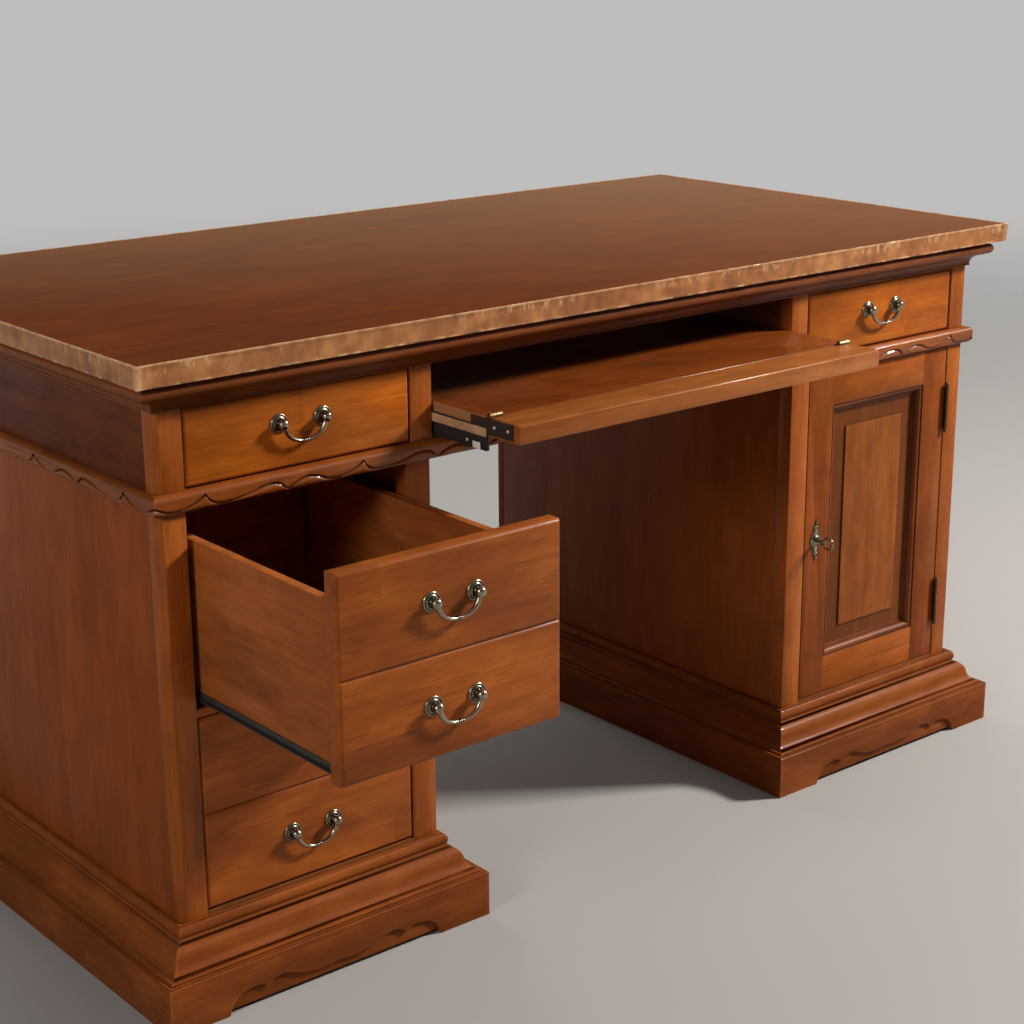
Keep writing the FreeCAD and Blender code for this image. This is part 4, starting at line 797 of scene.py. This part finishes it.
def scroll_height(run):
    """Height of the carved line above the waist's lower edge."""
    spot = (run - SCROLL_START) % SCROLL_LENGTH / MM
    for (start, low), (end, high) in zip(SCROLL, SCROLL[1:]):
        if spot <= end:
            return (low + (high - low) * (spot - start) / (end - start)) * MM
    return SCROLL[-1][1] * MM


def waist_reach(height):
    """Reach of the rounded waist at a height above its lower edge."""
    into = max(WAIST_ROUND - height, WAIST_ROUND - (WAIST_TALL - height), 0)
    return WAIST_REACH - WAIST_ROUND + math.sqrt(max(WAIST_ROUND ** 2 - into ** 2, 0))


def waist_section(side, run, length, row):
    """The rounded band, with rows set close round the gouge's cut along the carved line."""
    last = WAIST_ROWS - 2
    if row in (0, last + 1):
        return -WAIST_DEPTH, WAIST_LOW.z
    if row == last:
        return -WAIST_DEPTH, WAIST_HIGH.z
    if side in (1, 3):
        run = min(run, length - run)
    elif side == 2:
        run = length - run
    line = scroll_height(run)
    low = max(line + GOUGE[0][0] * MM, CARVE_MARGIN)
    high = min(line + GOUGE[-1][0] * MM, WAIST_TALL - CARVE_MARGIN)
    step = row - 1
    depth = 0
    if step < WAIST_STEPS:
        height = low * (step / WAIST_STEPS)
    elif step < WAIST_STEPS + len(GOUGE):
        offset, cut = GOUGE[step - WAIST_STEPS]
        height = min(max(line + offset * MM, low), high)
        depth = cut * MM
    else:
        height = high + (WAIST_TALL - high) * (step - WAIST_STEPS - len(GOUGE) + 1) / WAIST_STEPS
    return waist_reach(height) - depth, WAIST_LOW.z + height


waist = ringed(WAIST_LOW, WAIST_HIGH, WAIST_REACH, WAIST_ROWS, waist_section, WAIST_STEP)
settle(waist, "carved_waist", "carcass", moulding_wood, ("waist_moulding",), angle=50)

# Edging: folds and lips in waves to the metre, and how far each of them stands out.
BAND_FACE_ROWS = 13
BAND_INSET = 2 * MM
BAND_TALL = BAND_HIGH.z - BAND_LOW.z
FOLDS, FOLD_DEPTH, FOLD_AT_FOOT = 95, 0.26 * MM, 0.35
SMALL_FOLD, SMALL_FOLD_WAVES = 0.5, 2.3
ROUGHNESS, ROUGH_DEPTH = 60, 0.16 * MM
LIPS, LIP_REACH, LIP_SWING = 45, 0.7 * MM, 0.4 * MM
LIP_TUCK, LIP_RISE = 1.2 * MM, 0.5 * MM
FOOT_REACH = 0.5 * MM
LIP_FROM, FOOT_TO = 0.9, 0.08
PINCH, PINCH_WIDTH, PINCH_AT_FOOT = 2.4 * MM, 6 * MM, 0.4
# How far the noise moves on from foot to lip and from side to side, and where it starts.
FOLD_RISE, FOLD_SIDE, SMALL_FOLD_START = 0.9, 11.3, 5
ROUGH_RISE, ROUGH_SIDE, ROUGH_START = 7, 5, 3
LIP_SIDE, LIP_START = 7, 2


def growing(at_foot, share):
    """What is left of an effect that grows from the band's foot to its lip."""
    return at_foot + (1 - at_foot) * share


def band_section(side, run, length, row):
    """Edging folded over the slab's edge: upright wrinkles, an uneven lip, and pinched corners."""
    if row in (0, BAND_FACE_ROWS + 3):
        return -BAND_INSET, BAND_LOW.z
    if row == BAND_FACE_ROWS + 2:
        return -BAND_INSET, BAND_HIGH.z
    share = min((row - 1) / (BAND_FACE_ROWS - 1), 1)
    spot = Vector((run * FOLDS, share * FOLD_RISE, side * FOLD_SIDE))
    small_spot = spot * SMALL_FOLD_WAVES + Vector((0, share, SMALL_FOLD_START))
    fold = noise.noise(spot) + SMALL_FOLD * noise.noise(small_spot)
    rough = noise.noise(Vector((run * ROUGHNESS, share * ROUGH_RISE, side * ROUGH_SIDE + ROUGH_START)))
    lip = noise.noise(Vector((run * LIPS, LIP_START, side * LIP_SIDE)))
    corner = min(run, length - run)
    reach = FOLD_DEPTH * fold * growing(FOLD_AT_FOOT, share) + ROUGH_DEPTH * rough
    reach += PINCH * math.exp(-(corner / PINCH_WIDTH) ** 2) * growing(PINCH_AT_FOOT, share)
    height = BAND_LOW.z + share * BAND_TALL
    if share > LIP_FROM:
        reach += LIP_REACH + LIP_SWING * lip
    if share < FOOT_TO:
        reach += FOOT_REACH
    if row == BAND_FACE_ROWS + 1:
        reach -= LIP_TUCK
        height += LIP_RISE + LIP_SWING * lip
    return reach, height


band = ringed(BAND_LOW, BAND_HIGH, 0, BAND_FACE_ROWS + 4, band_section, BAND_STEP)
settle(band, "wrinkled_edging", "carcass", edging, ("top_edge_band",), angle=60)


# Drop handles

# Turned shapes as radius and distance from their face, in millimetres.
ROSETTE = [(11.3, 0), (11.3, 0.8), (10.9, 1.5), (10.0, 2.0), (9.2, 1.9), (8.8, 1.5), (8.4, 1.6), (7.8, 2.4),
           (6.9, 2.9), (5.9, 3.1), (5.2, 3.0), (4.8, 2.8), (4.3, 3.2), (3.8, 4.4), (3.8, 5.3), (4.9, 5.8),
           (5.9, 7.2), (6.2, 9.0), (5.9, 10.8), (5.1, 12.3), (3.9, 13.3), (2.3, 14.0), (0.8, 14.2)]
HALF_COLLAR = [(1.5, 0), (2.1, 0.6), (2.5, 1.4), (2.3, 2.3), (1.8, 2.9), (2.2, 3.2), (2.9, 3.6), (3.1, 4.3)]
COLLAR_MIDDLE = HALF_COLLAR[-1][1]
COLLAR = HALF_COLLAR + [(radius, 2 * COLLAR_MIDDLE - run) for radius, run in reversed(HALF_COLLAR[:-1])]
# The bail's wire as x, z and radius, in millimetres.
HALF_BAIL = [(-28.2, 0.0, 3.0), (-27.4, -3.4, 3.3), (-25.6, -8.6, 3.2), (-21.4, -14.8, 2.8),
             (-14.8, -19.2, 2.3), (-7.5, -21.2, 1.9), (0, -21.6, 1.7)]
BAIL = HALF_BAIL + [(-x, z, radius) for x, z, radius in reversed(HALF_BAIL[:-1])]
BAIL_DROP = HALF_BAIL[-1][1] * MM
POST_SPACING = 28.5 * MM
COLLAR_SIDES = 24
HANDLES = [("left_drawer", ("left_bail",)), ("right_drawer", ("right_bail",)),
           ("lower_file", ("lower_file_lower_bail", "lower_file_upper_bail")),
           ("upper_file", ("upper_file_lower_bail", "upper_file_upper_bail"))]


def bail_pattern():
    """The bent wire of a drop handle, thickest by its ends, with a turned collar at its middle.

    Its axis is on y = z = 0."""
    deselect()
    bpy.ops.curve.primitive_nurbs_path_add(location=(0, 0, 0))
    wire = bpy.context.object
    spline = wire.data.splines[0]
    spline.points.add(len(BAIL) - len(spline.points))
    for point, (x, z, radius) in zip(spline.points, BAIL):
        point.co = (x * MM, 0, z * MM, 1)
        point.radius = radius
    spline.use_endpoint_u = True
    spline.order_u = 4
    spline.resolution_u = 5
    wire.data.bevel_depth = MM
    wire.data.bevel_resolution = 4
    wire.data.use_fill_caps = True
    take(wire)
    bpy.ops.object.convert(target="MESH")
    collar = turned("collar", COLLAR, COLLAR_SIDES)
    middle = Matrix.Translation((-COLLAR_MIDDLE * MM, 0, BAIL_DROP))
    collar.data.transform(middle @ Matrix.Rotation(QUARTER_TURN, 4, "Z"))
    bail = joined([wire, collar])
    edit(bail, "VERT")
    close_outwards()
    return bail


rosette = turned("rosette", ROSETTE)
bail_shape = bail_pattern()
for drawer, bails in HANDLES:
    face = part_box(drawer + "_front")[0].y
    posts = []
    for bail in bails:
        node = frame["record"]["behaviour"]["bodies"][bail][0]
        x, y, z = pivot_of(bail)
        wire = copied(bail_shape, Matrix.Translation((x, y, z)))
        settle(wire, node + "_wire", bail, antique, (node,), angle=60)
        for side in (-1, 1):
            posts.append(copied(rosette, Matrix.Translation((x + side * POST_SPACING, face, z))))
    settle(joined(posts), drawer + "_rosettes", drawer, antique,
           (drawer + "_handle_posts",), angle=40)
scrap(rosette)
scrap(bail_shape)


# Cupboard door

# Moves inwards from the light's edge and out towards the sitter, in millimetres.
OVOLO = [(0.25, -1.6), (1.6, -0.15), (0.6, 0.7), (1.3, -0.25), (1.7, -0.8), (1.7, -1.5), (1.3, -1.9),
         (0.65, -1.9), (0.3, -1.1), (2.0, -0.35), (0.5, -1.0), (1.1, -0.15)]
RAISED_FIELD = [(2.0, 0.0), (22.0, 2.0), (0.35, 1.7), (1.1, 0.35), (0.6, 0.0)]
PANEL_FACE = DOOR_LOW.y + 11 * MM
FIRST_MOVE = 0.1 * MM
KEY_X, _, KEY_Z = pivot_of("key")
KEY_BORE, KEY_BORE_LENGTH, KEY_BORE_SIDES = 3.2 * MM, 60 * MM, 24


def moulded(low, high, face, back, profile, hollow):
    """A rectangle that faces the sitter, stepped inwards by the profile's moves, and given its back."""
    deselect()
    middle = (low + high) / 2
    bpy.ops.mesh.primitive_plane_add(size=1, location=(middle.x, face, middle.z),
                                     rotation=(QUARTER_TURN, 0, 0))
    piece = bpy.context.object
    piece.scale = (high.x - low.x, high.z - low.z, 1)
    take(piece)
    fix_place()
    edit(piece)
    for inwards, outwards in profile:
        bpy.ops.mesh.inset(thickness=inwards * MM, depth=outwards * MM, use_boundary=True)
    if hollow:
        bpy.ops.mesh.delete(type="FACE")
    bpy.ops.mesh.select_all(action="SELECT")
    extrude_back(FIRST_MOVE)
    bpy.ops.transform.resize(value=(1, 0, 1), center_override=(0, back, 0))
    close_outwards()
    return piece


def bore_for_key(board):
    """Drills the hole that the key goes through."""
    deselect()
    bpy.ops.mesh.primitive_cylinder_add(vertices=KEY_BORE_SIDES, radius=KEY_BORE, depth=KEY_BORE_LENGTH,
                                        location=(KEY_X, DOOR_LOW.y, KEY_Z), rotation=(QUARTER_TURN, 0, 0))
    drill = bpy.context.object
    apply_modifier(board, "BOOLEAN", object=drill, operation="DIFFERENCE")
    scrap(drill)


door_boards = [
    block(DOOR_LOW, (LIGHT_LOW.x, DOOR_HIGH.y, DOOR_HIGH.z)),
    block((LIGHT_HIGH.x, DOOR_LOW.y, DOOR_LOW.z), DOOR_HIGH),
    block((LIGHT_LOW.x, DOOR_LOW.y, DOOR_LOW.z), (LIGHT_HIGH.x, DOOR_HIGH.y, LIGHT_LOW.z)),
    block((LIGHT_LOW.x, DOOR_LOW.y, LIGHT_HIGH.z), (LIGHT_HIGH.x, DOOR_HIGH.y, DOOR_HIGH.z)),
]
bore_for_key(door_boards[0])
for board in door_boards:
    rubbed(board, PANEL_EASE)
settle(joined(door_boards[:2]), "door_stiles", "door", stile_wood, ("door_frame",))
settle(joined(door_boards[2:]), "door_rails", "door", rail_wood)
sticking = moulded(LIGHT_LOW, LIGHT_HIGH, DOOR_LOW.y, DOOR_HIGH.y, OVOLO, hollow=True)
settle(sticking, "door_sticking", "door", sticking_wood, angle=30)
field = moulded(PANEL_LOW, PANEL_HIGH, PANEL_FACE, PANEL_HIGH.y, RAISED_FIELD, hollow=False)
settle(field, "raised_panel", "door", panel_wood, ("door_panel",), angle=20)

# Lock plate: a quarter of its outline and of its bosses round the key hole, as x and z in millimetres.
PLATE_QUARTER = [(0, 30), (1.6, 24), (3.2, 22.5), (5.6, 20.5), (4.6, 17.5), (3.4, 15.5), (5.2, 12.5),
                 (8.2, 10.5), (8.0, 7.5), (9.4, 4.0), (12.0, 0)]
PLATE_HALF = PLATE_QUARTER + [(x, -z) for x, z in reversed(PLATE_QUARTER[:-1])]
PLATE_OUTLINE = PLATE_HALF + [(-x, z) for x, z in reversed(PLATE_HALF[1:-1])]
PLATE_THICKNESS = 0.9 * MM
PLATE_RIM = [(0.5, 0.5), (0.5, -0.6), (0.9, 0.7)]
PLATE_FACE = DOOR_LOW.y - 1.2 * MM
BLANK_RADIUS = 20 * MM
BOSS_QUARTER = [(0, 25.5), (0, 19), (9.6, 0), (5.6, 9)]
BOSS_SPOTS = sorted({(side * x, end * z) for x, z in BOSS_QUARTER for side in (-1, 1) for end in (-1, 1)})
BOSS = [(1.5, 0), (1.5, 0.5), (1.2, 1.1), (0.7, 1.5), (0.2, 1.6)]
KEY_RIM = [(6.0, 0), (6.0, 0.9), (5.4, 1.5), (4.6, 1.6), (4.2, 1.1), (4.0, 0.2), (1.0, 0.2)]
BOSS_SIDES, KEY_RIM_SIDES = 12, 28


def lock_plate():
    """Cast plate round the key hole: pointed ends, waved sides, a raised rim and small bosses."""
    plate = disc(len(PLATE_OUTLINE), BLANK_RADIUS)
    clockwise = sorted(plate.data.vertices,
                       key=lambda point: math.atan2(point.co.x, point.co.z) % math.tau)
    for point, (x, z) in zip(clockwise, PLATE_OUTLINE):
        point.co = (KEY_X + x * MM, DOOR_LOW.y, KEY_Z + z * MM)
    edit(plate)
    extrude_back(-PLATE_THICKNESS)
    for inwards, outwards in PLATE_RIM:
        bpy.ops.mesh.inset(thickness=inwards * MM, depth=outwards * MM)
    close_outwards()
    boss = turned("boss", BOSS, BOSS_SIDES)
    rim = turned("rim", KEY_RIM, KEY_RIM_SIDES)
    parts = [plate]
    for x, z in BOSS_SPOTS:
        parts.append(copied(boss, Matrix.Translation((KEY_X + x * MM, PLATE_FACE, KEY_Z + z * MM))))
    parts.append(copied(rim, Matrix.Translation((KEY_X, PLATE_FACE, KEY_Z))))
    scrap(boss)
    scrap(rim)
    return joined(parts)


settle(lock_plate(), "lock_plate", "door", antique, ("escutcheon",), angle=40)


# Slides, screws and small steel

SCREW, SCREW_SIDES = [(2.6, 0), (2.6, 0.3), (2.2, 0.7), (1.4, 0.95), (0.6, 1.0)], 16
SLIDE_WALL, SLIDE_GAUGE, SLIDE_TALL, SLIDE_EASE = 3.5 * MM, 1.5 * MM, 9 * MM, 0.3 * MM
SMALL_EASE = 0.15 * MM
SLIDE_SCREW_RISE = 5.4 * MM
SLIDE_SCREW_SHARES = 0.06, 0.5, 0.94


def upright_block(first_x, second_x, low, high):
    """A block between two x in either order, from the y and z of one corner to those of another."""
    near, far = sorted((first_x, second_x))
    return block((near, *low), (far, *high))


def side_turn(side):
    """Turns a shape's nose from the sitter to the left or the right."""
    return Matrix.Rotation(side * QUARTER_TURN, 4, "Z")


def drawer_slides(drawer):
    """Slim folded strips along the lower edges of a deep drawer's sides, with their screws."""
    low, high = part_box(drawer + "_slides")
    strips = []
    screw = turned("screw", SCREW, SCREW_SIDES)
    for side, edge in ((-1, low.x), (1, high.x)):
        wall = edge - side * SLIDE_WALL
        strip = upright_block(wall, wall - side * SLIDE_GAUGE, (low.y, low.z),
                              (high.y, low.z + SLIDE_TALL))
        lip = upright_block(wall, edge, (low.y, low.z), (high.y, low.z + SLIDE_GAUGE))
        strips += [rubbed(strip, SLIDE_EASE), rubbed(lip, SLIDE_EASE)]
        for share in SLIDE_SCREW_SHARES:
            spot = Vector((wall, low.y + share * (high.y - low.y), low.z + SLIDE_SCREW_RISE))
            strips.append(copied(screw, Matrix.Translation(spot) @ side_turn(side)))
    scrap(screw)
    return joined(strips)


for drawer in ("lower_file", "upper_file"):
    settle(drawer_slides(drawer), drawer + "_slide_strips", drawer, black_steel,
           (drawer + "_slides",))

# Tray's ends: battens and clips, and screws as run and rise from a front lower corner in millimetres.
TRAY_SLIDE_LOW, TRAY_SLIDE_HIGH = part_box("tray_slides")
BRACKET_LOW, BRACKET_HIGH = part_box("tray_end_brackets")
PROUD = 0.4 * MM
BATTEN_LOW, BATTEN_HIGH = TRAY_SLIDE_HIGH.z - 10.5 * MM, TRAY_SLIDE_HIGH.z - 0.5 * MM
CLIP_FRONT, CLIP_BACK = TRAY_SLIDE_LOW.y + 11 * MM, TRAY_SLIDE_LOW.y + 25 * MM
CLIP_LOW, CLIP_HIGH = TRAY_SLIDE_LOW.z + 0.4 * MM, TRAY_SLIDE_LOW.z + 8 * MM
TRAY_SCREWS, TRAY_SCREW_SIZE, TRAY_SCREW_SINK = [(36, 6.5), (160, 6.5)], 0.8, 0.6 * MM
BRACKET_SCREWS, BRACKET_SCREW_SIZE = [(8.8, 9.5), (32.8, 9.5), (61.8, 4.5)], 0.85

battens, clips, screws = [], [], []
screw = turned("screw", SCREW, SCREW_SIDES)
for side in (-1, 1):
    wall = side * TRAY_SLIDE_HIGH.x
    outer = wall + side * PROUD
    batten = upright_block(wall, outer, (TRAY_SLIDE_LOW.y, BATTEN_LOW), (TRAY_SLIDE_HIGH.y, BATTEN_HIGH))
    battens.append(rubbed(batten, SMALL_EASE))
    clip = upright_block(wall, outer, (CLIP_FRONT, CLIP_LOW), (CLIP_BACK, CLIP_HIGH))
    clips.append(rubbed(clip, SMALL_EASE))
    for x, corner, spots, size in (
            (wall - side * TRAY_SCREW_SINK, TRAY_SLIDE_LOW, TRAY_SCREWS, TRAY_SCREW_SIZE),
            (side * BRACKET_HIGH.x, BRACKET_LOW, BRACKET_SCREWS, BRACKET_SCREW_SIZE)):
        for back, rise in spots:
            spot = Matrix.Translation((x, corner.y + back * MM, corner.z + rise * MM))
            screws.append(copied(screw, spot @ side_turn(side) @ Matrix.Scale(size, 4)))
scrap(screw)
settle(joined(battens), "tray_side_battens", "tray", bare_wood)
settle(joined(clips), "tray_slide_clips", "tray", nylon)
settle(joined(screws), "tray_screws", "tray", zinc)


# Butt hinges of the door

HINGE_LOW, HINGE_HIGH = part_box("door_hinge_fixed")
HINGE_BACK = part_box("door_hinge_leaves")[1].y
HINGE_LENGTH = 66 * MM
HINGE_SPANS = [(HINGE_HIGH.z - HINGE_LENGTH, HINGE_HIGH.z), (HINGE_LOW.z, HINGE_LOW.z + HINGE_LENGTH)]
HINGE_AXIS = Vector((*pivot_of("door")[:2], 0))
KNUCKLES, KNUCKLE_SIDES, KNUCKLE_RADIUS = 5, 20, 2.7
KNUCKLE_TALL = HINGE_LENGTH / KNUCKLES
KNUCKLE_LENGTH, KNUCKLE_GAP, KNUCKLE_SHOULDER, KNUCKLE_CHAMFER = KNUCKLE_TALL / MM, 0.15, 0.5, 0.4
KNUCKLE = [(KNUCKLE_RADIUS - KNUCKLE_CHAMFER, KNUCKLE_GAP), (KNUCKLE_RADIUS, KNUCKLE_SHOULDER),
           (KNUCKLE_RADIUS, KNUCKLE_LENGTH - KNUCKLE_SHOULDER),
           (KNUCKLE_RADIUS - KNUCKLE_CHAMFER, KNUCKLE_LENGTH - KNUCKLE_GAP)]
FINIAL = [(2.0, 0), (1.6, 0.8), (2.2, 1.4), (2.6, 2.6), (2.2, 3.8), (1.2, 4.6), (0.4, 4.8)]
FINIAL_SIDES = 16
LEAF_GAUGE, LEAF_GAP = 0.9 * MM, 0.3 * MM
UPWARDS, DOWNWARDS = Matrix.Rotation(-QUARTER_TURN, 4, "X"), Matrix.Rotation(QUARTER_TURN, 4, "X")


def hinge_half(first, on_stile):
    """Every second knuckle of both hinges with its leaf, and the pins' finials on the stile's half."""
    parts = []
    leaf_x = sorted((HINGE_AXIS.x, HINGE_AXIS.x + (LEAF_GAUGE if on_stile else -LEAF_GAUGE)))
    for bottom, top in HINGE_SPANS:
        for number in range(first, KNUCKLES, 2):
            foot = bottom + number * KNUCKLE_TALL
            knuckle = turned("knuckle", KNUCKLE, KNUCKLE_SIDES)
            knuckle.data.transform(Matrix.Translation(HINGE_AXIS + Vector((0, 0, foot))) @ UPWARDS)
            leaf = block((leaf_x[0], HINGE_AXIS.y, foot + LEAF_GAP),
                         (leaf_x[1], HINGE_BACK, foot + KNUCKLE_TALL - LEAF_GAP))
            parts += [knuckle, rubbed(leaf, SMALL_EASE)]
        if on_stile:
            for height, way in ((top, UPWARDS), (bottom, DOWNWARDS)):
                finial = turned("finial", FINIAL, FINIAL_SIDES)
                finial.data.transform(Matrix.Translation(HINGE_AXIS + Vector((0, 0, height))) @ way)
                parts.append(finial)
    return joined(parts)


settle(hinge_half(0, on_stile=True), "door_hinge_stile_halves", "carcass", dark_iron,
       ("door_hinge_fixed",))
settle(hinge_half(1, on_stile=False), "door_hinge_door_halves", "door", dark_iron,
       ("door_hinge_leaves",))


# Trim of the plinths

PLINTH_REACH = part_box("pedestal_stiles")[0].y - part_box("left_plinth")[0].y
PLINTH_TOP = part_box("left_plinth")[1].z
# The fillet's section as reach and depth below the plinth's top, in millimetres.
PLINTH_FILLET = [(4.0, 16.9), (9.3, 16.9), (9.1, 16.1), (8.6, 14.9), (8.3, 13.5), (8.4, 12.1), (8.9, 10.9),
                 (4.0, 10.1)]
BACKING_HALF, BACKING_FOOT, BACKING_TOP = 153 * MM, 5 * MM, 28 * MM
BACKING_FRONT, BACKING_BACK, BACKING_EASE = 4 * MM, 13 * MM, 1.2 * MM


def fillet_section(side, run, length, row):
    """Small hollow between the plinth's bead and its ogee."""
    reach, depth = PLINTH_FILLET[row % len(PLINTH_FILLET)]
    return reach * MM, PLINTH_TOP - depth * MM


for side in ("left", "right"):
    low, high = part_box(side + "_plinth")
    middle = (low.x + high.x) / 2
    backing = block((middle - BACKING_HALF, low.y + BACKING_FRONT, BACKING_FOOT),
                    (middle + BACKING_HALF, low.y + BACKING_BACK, BACKING_TOP))
    rubbed(backing, BACKING_EASE)
    settle(backing, side + "_plinth_backing", "carcass", plinth_wood)
    fillet = ringed(low, high, PLINTH_REACH, len(PLINTH_FILLET) + 1, fillet_section, PLAIN_STEP)
    settle(fillet, side + "_plinth_fillet", "carcass", plinth_wood, angle=50)


# Studio

BACKDROP = 0.52, 0.515, 0.51
FLOOR_PAINT, FLOOR_ROUGH, FLOOR_SIZE = (0.33, 0.325, 0.32), 0.7, 60
FLOOR_FADE = 1.6, 6.0
# Shades of the room by how steeply they are looked up at, from level to straight up.
ZENITH = 0.30, 0.29, 0.28
SKY = [(0.06, (0.48, 0.44, 0.39)), (0.13, (0.40, 0.30, 0.19)), (0.155, (0.27, 0.195, 0.12)),
       (0.19, (0.07, 0.052, 0.036)), (0.24, (0.022, 0.019, 0.016)), (0.45, (0.06, 0.055, 0.05)),
       (0.7, (0.20, 0.19, 0.18))]
LIT_MIDDLE = Vector((0, 0, 0.45))
# Each lamp's way from the desk, distance and size in metres, watts and tint.
LAMPS = {
    "key": ((0.716, -0.433, 0.548), 4.2, 0.55, 280, (1.0, 0.95, 0.88)),
    "fill": ((-0.90, -0.27, 0.40), 4.0, 0.9, 46, (1.0, 0.95, 0.90)),
    "back": ((0.10, 0.55, 0.80), 5.0, 2.5, 35, (1.0, 0.97, 0.94)),
    "rear": ((0.12, 0.92, 0.42), 4.5, 1.4, 45, (1.0, 0.97, 0.94)),
}
MIRRORED_LAMPS = "key", "fill"
LENS, SENSOR, NEAREST = 71.26, 36, 0.05
CAMERA_PLACE = -1.6756, -2.0232, 1.2145
CAMERA_HEADING, CAMERA_TILT, CAMERA_ROLL = -39.29, 73.08, -0.41


def lay_floor():
    """A pale floor that takes the desk's shadow and fades into the backdrop."""
    deselect()
    bpy.ops.mesh.primitive_plane_add(size=FLOOR_SIZE, location=(0, 0, 0))
    floor = bpy.context.object
    floor.name = "studio_floor"
    paint, tree, shader = new_material("pale floor")
    shader.inputs["Base Color"].default_value = rgba(FLOOR_PAINT)
    shader.inputs["Roughness"].default_value = FLOOR_ROUGH
    away = put(tree, "ShaderNodeVectorMath", {0: object_spot(tree)}, operation="LENGTH").outputs["Value"]
    near, far = FLOOR_FADE
    fade = put(tree, "ShaderNodeMapRange", {"Value": away, "From Min": near, "From Max": far},
               interpolation_type="SMOOTHSTEP").outputs[0]
    rays = put(tree, "ShaderNodeLightPath").outputs
    seen = maths(tree, "MAXIMUM", maths(tree, "MAXIMUM", rays["Is Camera Ray"], rays["Is Glossy Ray"]),
                 rays["Is Transmission Ray"])
    glow = put(tree, "ShaderNodeEmission", {"Color": rgba(BACKDROP)}).outputs[0]
    mixed = put(tree, "ShaderNodeMixShader", {0: times(tree, fade, seen), 1: shader.outputs[0], 2: glow})
    tree.links.new(mixed.outputs[0], tree.nodes["Material Output"].inputs["Surface"])
    floor.data.materials.append(paint)


def paint_room():
    """A room that is pale at eye level, dark above it and lighter again overhead."""
    world = bpy.data.worlds.new("studio")
    bpy.context.scene.world = world
    world.use_nodes = True
    tree = world.node_tree
    tree.nodes.clear()
    rise = split(tree, put(tree, "ShaderNodeTexCoord").outputs["Generated"])[2]
    sky = put(tree, "ShaderNodeValToRGB", {"Fac": rise})
    shades = sky.color_ramp.elements
    shades[0].color = rgba(BACKDROP)
    shades[1].color = rgba(ZENITH)
    for height, shade in SKY:
        shades.new(height).color = rgba(shade)
    glow = put(tree, "ShaderNodeBackground", {"Color": sky.outputs[0]}).outputs[0]
    put(tree, "ShaderNodeOutputWorld", {"Surface": glow})


def hang_lamps():
    """Soft square lamps that face the desk. The polished top mirrors only those in front of it."""
    for name, (way, distance, size, watts, tint) in LAMPS.items():
        lamp = bpy.data.lights.new(name + "_light", "AREA")
        lamp.energy = watts
        lamp.size = size
        lamp.color = tint
        holder = bpy.data.objects.new(name + "_light", lamp)
        bpy.context.collection.objects.link(holder)
        holder.location = LIT_MIDDLE + Vector(way).normalized() * distance
        holder.rotation_euler = (LIT_MIDDLE - holder.location).to_track_quat("-Z", "Y").to_euler()
        holder.visible_glossy = name in MIRRORED_LAMPS


def set_camera():
    """The camera that was solved from the photo's straight edges."""
    lens = bpy.data.cameras.new("photo_camera")
    lens.lens = LENS
    lens.sensor_width = SENSOR
    lens.clip_start = NEAREST
    camera = bpy.data.objects.new("photo_camera", lens)
    bpy.context.collection.objects.link(camera)
    camera.location = CAMERA_PLACE
    heading = Matrix.Rotation(math.radians(CAMERA_HEADING), 4, "Z")
    tilt = Matrix.Rotation(math.radians(CAMERA_TILT), 4, "X")
    roll = Matrix.Rotation(math.radians(CAMERA_ROLL), 4, "Z")
    camera.rotation_euler = (heading @ tilt @ roll).to_euler()
    bpy.context.scene.camera = camera
    bpy.context.scene.view_settings.view_transform = "Standard"


lay_floor()
paint_room()
hang_lamps()
set_camera()
